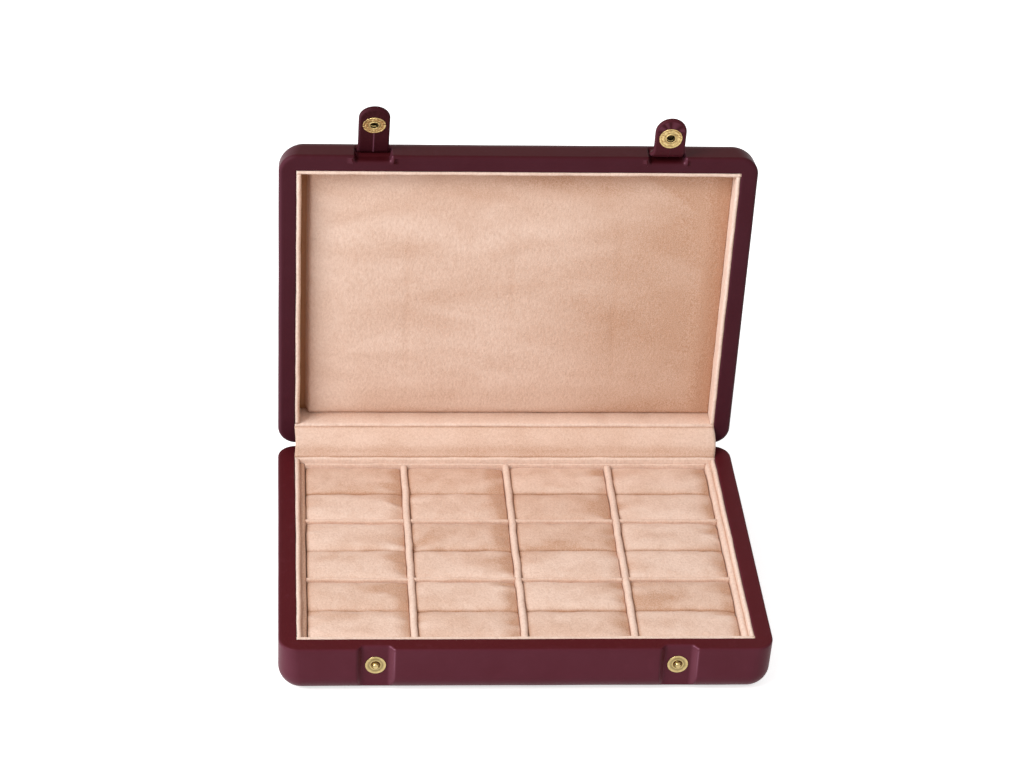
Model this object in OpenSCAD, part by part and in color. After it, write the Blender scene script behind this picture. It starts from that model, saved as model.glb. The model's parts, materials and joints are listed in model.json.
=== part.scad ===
// Ring display box: a leather-covered wooden case, lined in suede, with its lid standing open
// Millimetres, +Z up, origin on the underside below the middle of the tray, front towards -Y

/* [Case] */
// Width of the case, left to right
case_w = 251.4; // [210:0.2:320]
// Depth of the case, front to back
case_d = 180.8; // [150:0.2:240]
// Height of the base, from the surface it stands on to its rim
base_h = 30; // [28:0.5:45]
// Height of the lid, from its top to its rim
lid_h = 21; // [19:0.5:32]
// Plan radius of the upright corners
corner_r = 11.5; // [11.5:0.5:18]
// Radius of the rounded bottom edge of the base
base_edge_r = 11; // [6:0.5:11]
// Radius of the rounded top edge of the lid
lid_edge_r = 10; // [6:0.5:11]
// Width of the rims at the sides, leather included
side_rim_w = 9.2; // [8:0.1:12]
// Width of the rims at the front
front_rim_w = 8.8; // [8:0.1:12]
// Width of the rims at the hinge
back_rim_w = 11; // [8:0.1:14]
// Radius along the outer edge of each rim
rim_round = 1.2; // [0.6:0.1:2]
// Radius along the inner edge of each rim
bead_round = 0.6; // [0.2:0.1:0.9]
// Gap between the two rims when the case is shut
rim_gap = 1; // [0.6:0.1:1.6]
// Thickness of the covering leather
leather_t = 1; // [0.8:0.1:1.3]
// Thickness of the wooden floor of the base
floor_t = 4; // [3:0.5:6]
// Thickness of the wooden top of the lid
top_t = 3.2; // [2.5:0.1:5]
// Thickness of the suede sole under the base
sole_t = 0.8; // [0.6:0.1:2]
// Distance of the sole's edge inside the flat of the underside
sole_margin = 1.5; // [1:0.5:8]
// Plan radius of the sole's corners
sole_corner_r = 4; // [2:0.5:8]

/* [Hinge] */
// How far the lid stands open
lid_open = 90; // [80:1:95]
// Distance of the hinge line behind the case
hinge_back = 0; // [0:0.1:1.5]
// Thickness of the suede gusset inside the hinge
gusset_t = 0.9; // [0.6:0.1:1.2]
// Bow of the gusset towards the open side
gusset_bow = 0.9; // [0:0.1:1.5]
// Thickness of the leather spine outside the hinge
spine_t = 1; // [0.8:0.1:1.4]
// Lap of the spine on the back of the base and on the back of the lid
spine_lap = 9; // [5:0.5:9]
// Setback of the spine's ends from the curved corners
spine_setback = 3; // [0:0.5:20]
// Glue line between the spine or gusset and what it is laid on
glue_t = 0.15; // [0.1:0.05:0.3]

/* [Lining] */
// Thickness of the suede-covered lining boards
lining_t = 2.2; // [1.6:0.1:3]
// Thickness of the padded lid panel at its edge
lid_pad_edge = 1.6; // [1:0.1:2]
// Rise of the padded lid panel from its edge to its middle
lid_pad_crown = 2; // [1:0.1:3]
// Fall of the panel's crown towards its left and right ends
lid_pad_fall = 1.2; // [0.5:0.1:2]
// Roundness of the panel's crown, from an arch at 2 to a flat top with soft edges
lid_pad_power = 8; // [4:0.5:12]
// Clearance around the padded lid panel
lid_pad_fit = 0.3; // [0.2:0.1:1]

/* [Tray] */
// Thickness of the tray's left and right walls
tray_side_t = 3.1; // [1.5:0.1:5]
// Thickness of the tray's front and back walls
tray_end_t = 1.4; // [1:0.1:4]
// Drop of the tray's edges below the rim
tray_drop = 2.7; // [2:0.1:6]
// Thickness of the tray's floor
tray_floor_t = 2; // [1:0.5:3]
// Clearance between the tray and the lining
tray_fit = 0.2; // [0.1:0.1:1]
// Thickness of the dividers between the columns
divider_t = 3.2; // [2:0.1:5]
// Thickness of the dividers between the cells of a column
cross_t = 1.6; // [1:0.1:3]

/* [Ring pads] */
// Drop of the pads' crowns below the rim
pad_drop = 3.2; // [2.5:0.1:8]
// Rise of each pad's crown above its shoulders, front to back
pad_crown = 1.7; // [1:0.1:6]
// Fall of each pad's crown towards its two ends
pad_end_fall = 0.9; // [0.5:0.1:4]
// Roundness of each pad's crown, from an arch at 2 to a flat top with soft edges
pad_power = 3.4; // [2:0.1:8]
// Clearance around the pads in their cell
pad_fit = 0.3; // [0.2:0.1:1]
// Slit between the two pads of a cell
slit_w = 0.2; // [0.1:0.1:1]

/* [Straps] */
// Distance of the left strap from the middle of the case
left_strap_x = 76.5; // [40:0.1:85]
// Distance of the right strap from the middle of the case
right_strap_x = 77.2; // [40:0.1:85]
// Width of the straps
strap_w = 16.3; // [14:0.1:20]
// Thickness of the straps
strap_t = 2.8; // [2.6:0.1:3.2]
// Radius along the straps' long edges
strap_edge_r = 1.2; // [0.4:0.1:1.25]
// Height of the straps' roots above the rim of the lid
strap_root = 8.6; // [7:0.1:9.5]
// Distance from the middle of a snap to the tip of its strap
strap_tip = 12.5; // [11:0.1:16]
// Clearance between a shut strap and the recess of the lid
strap_lift = 0.3; // [0.2:0.1:0.5]
// How far the left strap stands out from its shut position
left_lean = 68; // [20:1:100]
// How far the right strap stands out from its shut position
right_lean = 83; // [20:1:100]
// How far from its root the left strap bends
left_bend = 0; // [0:0.1:8]
// How far from its root the right strap bends
right_bend = 7.7; // [0:0.1:8]
// How far the straps can stand out
most_lean = 115; // [100:1:120]
// Depth to which the straps' anchors are let into the wall of the lid
anchor_d = 4; // [2:0.5:4]
// How much narrower the anchors are than the straps
anchor_trim_w = 1; // [0.5:0.1:3]
// How much thinner the anchors are than the straps
anchor_trim_t = 0.8; // [0.4:0.1:1.2]

/* [Recesses] */
// Width of the recesses that the straps lie in
recess_w = 18; // [17:0.1:24]
// Depth of the recesses in the front of the base
base_recess_d = 3.2; // [3.2:0.1:3.6]
// Depth of the recesses in the front of the lid
lid_recess_d = 2.5; // [2:0.1:2.5]
// Radius along the outer edges of the recesses
recess_lip = 1.2; // [0.6:0.1:1.4]
// Distance that the recesses of the lid run on past the roots of the straps
recess_over = 2.8; // [2.6:0.1:3.4]
// Radius along the outer edges of the recesses in the wood
wood_lip = 0.3; // [0.2:0.1:0.6]

/* [Snaps] */
// Depth of the snap studs' middle below the rim of the base
stud_drop = 12.3; // [11:0.1:14]
// Radius of the studs' flanges
stud_r = 5.4; // [4.5:0.1:6]
// Height of the studs' flanges above the recess, and depth that they are let into the leather
flange_t = 0.45; // [0.3:0.05:0.5]
// Height of the dished middle of the flanges above the recess
dish_z = 0.2; // [0.1:0.05:0.3]
// Radius of the studs' balls
ball_r = 1.75; // [1.4:0.05:1.8]
// Radius of the studs' necks
neck_r = 1.2; // [0.8:0.05:1.3]
// Rise of the studs' balls above their flanges
ball_rise = 1.9; // [1.6:0.1:2]
// Radius of the screws of the studs
screw_r = 1.3; // [1:0.1:1.6]
// Length of the screws of the studs below the recess
screw_l = 3.4; // [2.5:0.1:4]
// Radius of the sockets' flanges
socket_r = 6; // [5:0.1:6.5]
// Radius of the hole in each socket
hole_r = 2.25; // [2.15:0.05:2.4]
// Radius of the sockets' barrels
barrel_r = 3.3; // [3.1:0.1:3.8]
// Radius of the caps on the straps' outer faces
cap_r = 6.3; // [5:0.1:7]
// Height of the caps
cap_h = 1.5; // [1:0.1:2]
// Thickness of the wire of the snap springs
wire_t = 0.6; // [0.4:0.1:0.6]
// How far each snap spring goes round
spring_turn = 300; // [270:1:330]
// Gap between the flanges of a shut snap
snap_gap = 0.1; // [0.05:0.05:0.2]
// Gap between a socket's barrel and its cap
barrel_gap = 0.15; // [0.1:0.05:0.3]

/* [Hidden] */
$fn = 64;
columns = 4;
cell_rows = 3;
pad_rows = 2 * cell_rows;
sides = [-1, 1];
soft_fn = 24;
// Cuts run past the faces that they open by this much
past = 1;
// Pieces clear the holes and slots that they are let into by this much
hole_fit = 0.05;
// Stations of a cushion along and across it, and how it narrows to its ends and its bottom
along = [-1, -0.94, -0.8, -0.5, 0, 0.5, 0.8, 0.94, 1];
across = [-1, -0.93, -0.78, -0.45, 0, 0.45, 0.78, 0.93, 1];
end_power = 6;
draw_in = 0.4;
// Steps of the gusset's bow
gusset_steps = 10;

// Heights and plan sizes of the case, whose middle lies as far back as its rims differ
case_y = (back_rim_w - front_rim_w) / 2;
front_y = case_y - case_d / 2;
back_y = case_y + case_d / 2;
rim_in_x = case_w / 2 - side_rim_w;
rim_in_y = back_y - back_rim_w;
lined_x = rim_in_x - lining_t;
lined_y = rim_in_y - lining_t;
base_floor_z = sole_t + leather_t + floor_t;
lid_rim_z = base_h + rim_gap;
lid_top_z = lid_rim_z + lid_h;
lid_depth = lid_h - leather_t - top_t;
lid_recess_z = lid_h - strap_root - recess_over;
hinge_y = back_y + hinge_back;
hinge_z = base_h + rim_gap / 2;

// The tray, its cells and its pads
tray_x = lined_x - tray_fit;
tray_y = lined_y - tray_fit;
tray_top_z = base_h - tray_drop;
tray_z = base_floor_z + tray_floor_t;
cell_w = (2 * (tray_x - tray_side_t) - (columns - 1) * divider_t) / columns;
cell_l = (2 * (tray_y - tray_end_t) - (cell_rows - 1) * cross_t) / cell_rows;
pad_l = cell_w - 2 * pad_fit;
pad_w = (cell_l - 2 * pad_fit - slit_w) / 2;
pad_h = base_h - pad_drop - tray_z;

// Straps, from the root of each to the middle of its snap
strap_reach = strap_root + rim_gap + stud_drop;
strap_y = front_y + lid_recess_d - strap_lift - strap_t / 2;
strap_z = lid_rim_z + strap_root;
strap_gap = base_recess_d - lid_recess_d + strap_lift;
socket_t = strap_gap - flange_t - snap_gap;
barrel_l = strap_t - socket_t - barrel_gap;
groove_z = -barrel_l / 2;
groove_d = 0.65 * wire_t;

// Colours
oxblood = [0.37, 0.17, 0.21];
suede = [0.87, 0.72, 0.62];
wood = [0.76, 0.62, 0.44];
brass = [0.79, 0.64, 0.36];
felt = [0.30, 0.14, 0.17];

// Section of a rounded case from its middle out to one side, as wide as half
module half_section(half, h, r_low, r_high) {
    square([half - max(r_low, r_high), h]);
    translate([0, r_low]) square([half, h - r_low - r_high]);
    translate([half - r_low, r_low]) intersection() {
        circle(r_low);
        translate([0, -r_low]) square(r_low);
    }
    if (r_high > 0) {
        translate([0, h - r_high]) square([half - r_high, r_high]);
        translate([half - r_high, h - r_high]) intersection() {
            circle(r_high);
            square(r_high);
        }
    }
}

module full_section(half, h, r_low, r_high) {
    half_section(half, h, r_low, r_high);
    mirror([1, 0]) half_section(half, h, r_low, r_high);
}

// Rounded block that stands on z = 0, with a rounded bottom edge and corners
module case_form(w, d, h, r, r_low, r_high) {
    rotate([90, 0, 90]) translate([0, 0, r - w / 2])
        linear_extrude(w - 2 * r) full_section(d / 2, h, r_low, r_high);
    rotate([90, 0, 0]) translate([0, 0, r - d / 2])
        linear_extrude(d - 2 * r) full_section(w / 2, h, r_low, r_high);
    for (sx = sides, sy = sides)
        translate([sx * (w / 2 - r), sy * (d / 2 - r), 0])
            rotate_extrude() half_section(r, h, r_low, r_high);
}

// Plan of a recess at the front face, which lies on y = 0, with both its edges rounded
module recess_plan(w, d, r, lip) {
    translate([-w / 2, -past]) square([w, past + d - r]);
    translate([r - w / 2, 0]) square([w - 2 * r, d]);
    for (s = sides) {
        translate([s * (w / 2 - r), d - r]) circle(r);
        translate([s * (w / 2 + lip / 2), lip / 2]) difference() {
            square(lip, center = true);
            translate([s * lip / 2, lip / 2]) circle(lip);
        }
    }
}

function snap_x(side) = (side < 0) ? -left_strap_x : right_strap_x;

// The two recesses in a front wall, from z0 up to z1
module recess_cuts(d, z0, z1) {
    for (s = sides)
        translate([snap_x(s), front_y, z0])
            linear_extrude(z1 - z0) recess_plan(recess_w, d, d - recess_lip, recess_lip);
}

// The same recesses as the wood has them, a leather's thickness wider and deeper
module wood_recess_cuts(d, z0, z1) {
    for (s = sides)
        translate([snap_x(s), front_y, z0 - leather_t])
            linear_extrude(z1 - z0 + leather_t)
                recess_plan(recess_w + 2 * leather_t, d + leather_t, d + leather_t - recess_lip, wood_lip);
}

// Rounding along the inner edge of a rim whose top lies at z
module bead_cuts(z) {
    for (a = [0, 180]) {
        rotate([0, 0, a]) bead_cut(rim_in_x, rim_in_y, z);
        rotate([0, 0, a + 90]) bead_cut(rim_in_y, rim_in_x, z);
    }
}

module bead_cut(x, half, z) {
    translate([x, half, z - bead_round]) rotate([90, 0, 0])
        linear_extrude(2 * half) difference() {
            square([bead_round, bead_round + past]);
            translate([bead_round, 0]) circle(bead_round);
        }
}

// Leather cover of one half of the case, rim upwards, with recesses down to recess_z
module leather_cover(h, edge_r, recess_d, recess_z) {
    difference() {
        translate([0, case_y, 0]) case_form(case_w, case_d, h, corner_r, edge_r, rim_round);
        recess_cuts(recess_d, recess_z, h + past);
        difference() {
            wood_form(h, edge_r);
            wood_recess_cuts(recess_d, recess_z, h + past);
        }
        translate([-rim_in_x, -rim_in_y, h - leather_t - past])
            cube([2 * rim_in_x, 2 * rim_in_y, leather_t + 2 * past]);
        bead_cuts(h);
    }
}

// Block of wood that the leather goes round, rim upwards
module wood_form(h, edge_r) {
    translate([0, case_y, leather_t])
        case_form(case_w - 2 * leather_t, case_d - 2 * leather_t, h - 2 * leather_t,
            corner_r - leather_t, edge_r - leather_t, 0);
}

// Hollowed wooden shell of one half of the case, rim upwards
module wood_shell(h, edge_r, floor_h, recess_d, recess_z) {
    difference() {
        wood_form(h, edge_r);
        wood_recess_cuts(recess_d, recess_z, h + past);
        translate([-rim_in_x, -rim_in_y, leather_t + floor_h])
            cube([2 * rim_in_x, 2 * rim_in_y, h]);
    }
}

// Board that stands on z = 0 along X with a rounded top edge
module board(l, t, h) {
    translate([-l / 2, 0, 0]) rotate([90, 0, 90]) linear_extrude(l) {
        translate([-t / 2, 0]) square([t, h - t / 2]);
        translate([0, h - t / 2]) circle(t / 2);
    }
}

// Lining boards of one half of the case, of height h, on z = 0
module lining_end(side, h) {
    translate([0, side * (rim_in_y - lining_t / 2), 0]) board(2 * rim_in_x, lining_t, h);
}

module lining_side(side, h) {
    translate([side * (rim_in_x - lining_t / 2), 0, 0])
        rotate([0, 0, 90]) board(2 * lined_y, lining_t, h);
}

// Soft block on z = 0: its top is highest in the middle, falls by crown across and by
// fall along, and its sides draw in towards the bottom
module cushion(l, w, h, crown, fall, power) {
    n = len(across) + 2;
    rings = [for (u = along) cushion_ring(u, l, w, h, crown, fall, power)];
    points = [for (ring = rings) each ring];
    last = (len(along) - 1) * n;
    polyhedron(points, concat(
        [for (i = [1 : n - 2]) [0, i, i + 1]],
        [for (i = [1 : n - 2]) [last, last + i + 1, last + i]],
        [for (k = [0 : len(along) - 2], i = [0 : n - 1])
            each ring_faces(k * n + i, k * n + (i + 1) % n, n)]
    ));
}

function cushion_ring(u, l, w, h, crown, fall, power) =
    let (end = pow(abs(u), end_power), y = w / 2 - draw_in * end)
    concat(
        [[u * l / 2, y - draw_in, 0], [u * l / 2, draw_in - y, 0]],
        [for (v = across) [u * l / 2, v * y, h - crown * pow(abs(v), power) - fall * end]]
    );

function ring_faces(a, b, n) = [[a, a + n, b], [b, a + n, b + n]];

// Where a point of the shut lid lies once the lid is open, in the plane of Y and Z
function opened(y, z) =
    let (dy = y - hinge_y, dz = z - hinge_z)
    [
        hinge_y + dy * cos(lid_open) + dz * sin(lid_open),
        hinge_z - dy * sin(lid_open) + dz * cos(lid_open)
    ];

// Turns what is drawn in the shut lid's place to the open lid's place
module in_lid() {
    translate([0, hinge_y, hinge_z]) rotate([-lid_open, 0, 0])
        translate([0, -hinge_y, -hinge_z]) children();
}

// Places what is drawn with the lid's rim upwards and its top on z = 0
module in_turned_lid() {
    in_lid() translate([0, 0, lid_top_z]) mirror([0, 0, 1]) children();
}

function lean(side) = (side < 0) ? left_lean : right_lean;
function bend(side) = (side < 0) ? left_bend : right_bend;

// Places what is drawn about a strap's axis, with the strap hanging down -Z, inner face to +Y
module in_strap(side) {
    in_lid() translate([snap_x(side), strap_y, strap_z - bend(side)])
        rotate([-lean(side), 0, 0]) children();
}

// Places a revolved snap piece, whose +Z points out of the strap's inner face
module in_snap(side) {
    in_strap(side) translate([0, strap_t / 2, bend(side) - strap_reach])
        rotate([-90, 0, 0]) children();
}

// Base
module base_shell() {
    color(wood) difference() {
        translate([0, 0, sole_t])
            wood_shell(base_h - sole_t, base_edge_r, floor_t, base_recess_d, -past);
        stud_screw_holes();
    }
}

module base_leather() {
    color(oxblood) difference() {
        translate([0, 0, sole_t])
            leather_cover(base_h - sole_t, base_edge_r, base_recess_d, -past);
        stud_screw_holes();
        at_studs() translate([0, 0, -flange_t]) cylinder(h = past + flange_t, r = stud_r + hole_fit);
    }
}

module base_sole() {
    x = case_w / 2 - base_edge_r - sole_margin;
    y = case_d / 2 - base_edge_r - sole_margin;
    color(felt) translate([0, case_y, 0]) linear_extrude(sole_t) {
        square([2 * x, 2 * (y - sole_corner_r)], center = true);
        square([2 * (x - sole_corner_r), 2 * y], center = true);
        for (sx = sides, sy = sides)
            translate([sx * (x - sole_corner_r), sy * (y - sole_corner_r)]) circle(sole_corner_r);
    }
}

module base_lining_end(side) {
    color(suede) translate([0, 0, base_floor_z]) lining_end(side, base_h - base_floor_z);
}

module base_lining_side(side) {
    color(suede) translate([0, 0, base_floor_z]) lining_side(side, base_h - base_floor_z);
}

// Tray
module tray_floor() {
    color(suede) translate([-tray_x, -tray_y, base_floor_z])
        cube([2 * tray_x, 2 * tray_y, tray_floor_t]);
}

module tray_frame() {
    wall_h = tray_top_z - tray_z;
    color(suede) translate([0, 0, tray_z]) intersection() {
        union() {
            for (s = sides) {
                translate([0, s * (tray_y - tray_end_t / 2), 0]) board(2 * tray_x, tray_end_t, wall_h);
                translate([s * (tray_x - tray_side_t / 2), 0, 0])
                    rotate([0, 0, 90]) board(2 * tray_y, tray_side_t, wall_h);
            }
        }
        translate([-tray_x, -tray_y, 0]) cube([2 * tray_x, 2 * tray_y, wall_h]);
    }
}

function column_x(c) = (c - (columns + 1) / 2) * (cell_w + divider_t);
function cell_y(r) = ((cell_rows + 1) / 2 - r) * (cell_l + cross_t);

module column_divider(i) {
    color(suede) translate([column_x(i) + (cell_w + divider_t) / 2, 0, tray_z])
        rotate([0, 0, 90]) board(2 * (tray_y - tray_end_t), divider_t, tray_top_z - tray_z);
}

module cross_dividers(c) {
    color(suede) for (r = [1 : cell_rows - 1])
        translate([column_x(c), cell_y(r) - (cell_l + cross_t) / 2, tray_z])
            board(cell_w, cross_t, tray_top_z - tray_z);
}

// Rows of pads are counted from the hinge forwards, two to a cell
module ring_pad(r, c) {
    cell = ceil(r / 2);
    half = (r % 2 == 1) ? 1 : -1;
    color(suede) translate([column_x(c), cell_y(cell) + half * (pad_w + slit_w) / 2, tray_z])
        cushion(pad_l, pad_w, pad_h, pad_crown, pad_end_fall, pad_power);
}

// Snap studs
module at_studs() {
    for (s = sides)
        translate([snap_x(s), front_y + base_recess_d, base_h - stud_drop])
            rotate([90, 0, 0]) children();
}

module stud_screw_holes() {
    at_studs() translate([0, 0, -screw_l]) cylinder(h = screw_l + past, r = screw_r + hole_fit);
}

module snap_studs() {
    ball_z = flange_t + ball_rise - ball_r;
    color(brass) at_studs() {
        rotate_extrude() {
            translate([0, -flange_t]) square([stud_r - flange_t, flange_t + dish_z]);
            translate([stud_r - flange_t, 0]) circle(flange_t);
            translate([0, -screw_l]) square([screw_r, screw_l]);
            square([neck_r, ball_z]);
        }
        translate([0, 0, ball_z]) sphere(ball_r);
    }
}

// Hinge
module hinge_gusset() {
    low = [rim_in_y + gusset_t / 2, base_h + gusset_t / 2 + glue_t];
    high = opened(rim_in_y + gusset_t / 2, lid_rim_z - gusset_t / 2 - glue_t);
    way = high - low;
    out = [-way[1], way[0]] / norm(way);
    mid = [for (i = [0 : gusset_steps]) let (t = i / gusset_steps)
        low + t * way + out * gusset_bow * sin(360 * t * 0.5)];
    color(suede) rotate([90, 0, 90]) translate([0, 0, -rim_in_x]) linear_extrude(2 * rim_in_x)
        polygon(concat(
            [for (p = mid) p + out * gusset_t / 2],
            [for (i = [gusset_steps : -1 : 0]) mid[i] - out * gusset_t / 2]
        ));
}

// The spine is laid on the back of the base, and turns at the hinge line on to the back of
// the lid
module hinge_spine() {
    l = case_w - 2 * (corner_r + spine_setback);
    rise = hinge_back - glue_t;
    color(oxblood) rotate([90, 0, 90]) translate([0, 0, -l / 2]) linear_extrude(l) {
        translate([back_y + glue_t, hinge_z - spine_lap]) square([spine_t, spine_lap + rise]);
        translate([hinge_y, hinge_z]) rotate(-lid_open)
            translate([-rise, -rise]) square([spine_t, spine_lap + rise]);
    }
}

// Lid
module lid_shell() {
    color(wood) difference() {
        in_turned_lid() wood_shell(lid_h, lid_edge_r, top_t, lid_recess_d, lid_recess_z);
        anchor_slots();
    }
}

module lid_leather() {
    color(oxblood) difference() {
        in_turned_lid() leather_cover(lid_h, lid_edge_r, lid_recess_d, lid_recess_z);
        anchor_slots();
    }
}

module lid_lining_end(side) {
    color(suede) in_turned_lid() translate([0, 0, lid_h - lid_depth]) lining_end(side, lid_depth);
}

module lid_lining_side(side) {
    color(suede) in_turned_lid() translate([0, 0, lid_h - lid_depth]) lining_side(side, lid_depth);
}

module lid_pad() {
    color(suede) in_turned_lid() translate([0, 0, lid_h - lid_depth])
        cushion(2 * (lined_x - lid_pad_fit), 2 * (lined_y - lid_pad_fit),
            lid_pad_edge + lid_pad_crown, lid_pad_crown, lid_pad_fall, lid_pad_power);
}

// Anchor of a strap, let into the wall of the lid behind the recess. It comes out of the wall
// by this much
module anchor(side, fit, out) {
    w = strap_w - anchor_trim_w + 2 * fit;
    h = strap_t - anchor_trim_t + 2 * fit;
    in_lid() translate([snap_x(side) - w / 2, front_y + lid_recess_d - out, strap_z - h / 2])
        cube([w, anchor_d + fit + out, h]);
}

module anchor_slots() {
    for (s = sides) anchor(s, hole_fit, hole_fit);
}

// A strap that bends away from its root has a flat stretch first, which lies in the recess
module strap_anchors() {
    color(oxblood) for (s = sides) {
        if (bend(s) > 2 * strap_t) {
            anchor(s, 0, strap_lift + strap_t / 2);
            strap_flat(s);
        } else {
            anchor(s, 0, 0);
        }
    }
}

// The flat stretch ends clear of the strap in all its positions
module strap_flat(side) {
    clear = strap_t / 2 + strap_lift;
    ends = [for (y = [-strap_t / 2, strap_t / 2])
        [y, (clear - y * cos(180 - most_lean)) / sin(180 - most_lean) - bend(side)]];
    in_lid() translate([snap_x(side), strap_y, strap_z]) {
        rotate([0, 90, 0]) cylinder(h = strap_w, r = strap_t / 2, center = true);
        intersection() {
            translate([0, 0, -bend(side)]) linear_extrude(bend(side)) strap_section();
            rotate([90, 0, 90]) translate([0, 0, -strap_w / 2]) linear_extrude(strap_w)
                polygon([ends[0], ends[1], [strap_t / 2, 0], [-strap_t / 2, 0]]);
        }
    }
}

// Straps
module strap(side) {
    run = strap_reach - bend(side) + strap_tip - strap_w / 2;
    color(oxblood) difference() {
        in_strap(side) {
            translate([0, 0, -run]) linear_extrude(run) strap_section();
            translate([0, 0, -run]) rotate([-90, 0, 0]) rotate_extrude(angle = 180)
                intersection() {
                    strap_section();
                    translate([0, -strap_t]) square([strap_w, 2 * strap_t]);
                }
            rotate([0, 90, 0]) cylinder(h = strap_w, r = strap_t / 2, center = true);
        }
        in_snap(side) translate([0, 0, -strap_t - past])
            cylinder(h = strap_t + 2 * past, r = barrel_r + hole_fit);
    }
}

module strap_section() {
    r = strap_edge_r;
    square([strap_w - 2 * r, strap_t], center = true);
    square([strap_w, strap_t - 2 * r], center = true);
    for (sx = sides, sy = sides)
        translate([sx * (strap_w / 2 - r), sy * (strap_t / 2 - r)]) circle(r);
}

// Sockets, their springs and the caps behind them
module snap_socket(side) {
    color(brass) in_snap(side) rotate_extrude() difference() {
        union() {
            translate([hole_r, 0]) square([socket_r - hole_r - socket_t / 2, socket_t]);
            translate([socket_r - socket_t / 2, socket_t / 2]) circle(socket_t / 2);
            translate([hole_r, -barrel_l]) square([barrel_r - hole_r, barrel_l]);
        }
        translate([hole_r - past, groove_z - wire_t / 2 - hole_fit])
            square([past + groove_d, wire_t + 2 * hole_fit]);
    }
}

module snap_spring(side) {
    color(brass) in_snap(side) translate([0, 0, groove_z])
        rotate_extrude(angle = spring_turn) translate([hole_r + groove_d - wire_t / 2 - hole_fit, 0])
            circle(wire_t / 2, $fn = soft_fn);
}

module snap_cap(side) {
    dome_r = (cap_r * cap_r + cap_h * cap_h) / (2 * cap_h);
    color(brass) in_snap(side) translate([0, 0, -strap_t]) rotate_extrude() {
        intersection() {
            translate([0, dome_r - cap_h]) circle(dome_r, $fn = 128);
            translate([0, -cap_h]) square([cap_r, cap_h]);
        }
        square([barrel_r, strap_t - barrel_l]);
    }
}

base_shell();
base_leather();
base_sole();
base_lining_end(-1);  // base_lining_front
base_lining_end(1);  // base_lining_back
base_lining_side(-1);  // base_lining_left
base_lining_side(1);  // base_lining_right
tray_floor();
tray_frame();
for (i = [1 : columns - 1])
    column_divider(i);
for (i = [1 : columns])
    cross_dividers(i);
for (r = [1 : pad_rows], c = [1 : columns])
    ring_pad(r, c);
snap_studs();
hinge_gusset();
hinge_spine();
lid_shell();
lid_leather();
lid_lining_end(-1);  // lid_lining_front
lid_lining_end(1);  // lid_lining_back
lid_lining_side(-1);  // lid_lining_left
lid_lining_side(1);  // lid_lining_right
lid_pad();
strap_anchors();
strap(-1);  // strap_left
snap_socket(-1);  // snap_socket_left
snap_cap(-1);  // snap_cap_left
snap_spring(-1);  // snap_spring_left
strap(1);  // strap_right
snap_socket(1);  // snap_socket_right
snap_cap(1);  // snap_cap_right
snap_spring(1);  // snap_spring_right
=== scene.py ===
import json
import math

import bmesh
import bpy
import numpy as np
from bpy.props import FloatProperty, FloatVectorProperty, IntProperty, PointerProperty
from mathutils import Matrix, Vector, noise


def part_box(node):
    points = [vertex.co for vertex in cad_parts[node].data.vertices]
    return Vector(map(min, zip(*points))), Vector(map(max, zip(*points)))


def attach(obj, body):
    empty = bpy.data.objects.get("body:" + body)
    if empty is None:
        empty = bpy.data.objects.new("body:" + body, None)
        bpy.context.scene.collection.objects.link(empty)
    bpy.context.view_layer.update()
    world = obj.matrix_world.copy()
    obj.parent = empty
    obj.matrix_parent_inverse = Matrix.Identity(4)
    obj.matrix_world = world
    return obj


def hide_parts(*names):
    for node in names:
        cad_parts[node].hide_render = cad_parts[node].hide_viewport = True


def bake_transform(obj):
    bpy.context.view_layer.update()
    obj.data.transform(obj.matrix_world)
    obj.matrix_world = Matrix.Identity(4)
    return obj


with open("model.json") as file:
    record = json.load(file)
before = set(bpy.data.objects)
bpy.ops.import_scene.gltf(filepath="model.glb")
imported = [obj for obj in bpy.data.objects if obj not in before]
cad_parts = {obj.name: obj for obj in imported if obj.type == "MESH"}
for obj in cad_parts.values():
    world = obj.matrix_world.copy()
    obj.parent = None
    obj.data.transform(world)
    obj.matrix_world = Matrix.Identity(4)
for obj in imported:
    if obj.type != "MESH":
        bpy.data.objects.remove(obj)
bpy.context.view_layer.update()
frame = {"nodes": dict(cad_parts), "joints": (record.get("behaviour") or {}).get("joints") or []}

bl_info = {
    "name": "Ring display box",
    "version": (1, 0, 0),
    "blender": (4, 5, 0),
    "location": "View3D > Sidebar > Ring box",
    "description": "Dresses the packed ring display box in leather, suede and brass",
    "category": "Object",
}

MM = 0.001
SIDES = {"left": -1, "right": 1}
COLUMNS = 4
PAD_ROWS = 6

# How light each leather is beside that of the base, and how steep the sides of the recesses are in degrees
BASE_TONE = 1.0
LID_TONE = 0.62
# Painted light and shade: the two straps' leathers are lit and shaded copies, the right one lighter because
# it faces up into more light.
STRAP_PAINTED_LIGHT = {"left": 0.48, "right": 0.72}
BASE_FLANK_SLOPE = 52
LID_FLANK_SLOPE = 76

# Snaps in mm: the hole of a socket, its barrel and where that ends behind the strap's face
HOLE_R = 2.25
BARREL_R = 3.3
BARREL_END = -2.15
CAP_END = -2.3
LEATHER_HOLE_R = 3.2

JOINTS = {j["name"]: j for j in frame["joints"]}
BASE_LOW, BASE_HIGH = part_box("base_leather")
HALF_W, FRONT_Y, BACK_Y = BASE_HIGH.x, BASE_LOW.y, BASE_HIGH.y
RIM_Z = BASE_HIGH.z
HINGE = Vector(JOINTS["lid_hinge"]["pos_m"])
LID_OPEN = math.radians(JOINTS["lid_hinge"]["range_deg"][1])
LID_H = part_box("lid_leather")[1].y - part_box("lid_leather")[0].y
LID_TOP = 2 * HINGE.z - RIM_Z + LID_H
STRAP_X = {side: JOINTS[f"strap_{side}_bend"]["pos_m"][0] for side in SIDES}
STRAP_LEAN = {side: math.radians(JOINTS[f"strap_{side}_bend"]["range_deg"][1]) for side in SIDES}


def distance(name, text, value):
    """A length in metres that a user may change."""
    return FloatProperty(name=name, description=text, default=value, min=0.0, precision=5, subtype="DISTANCE")


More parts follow.
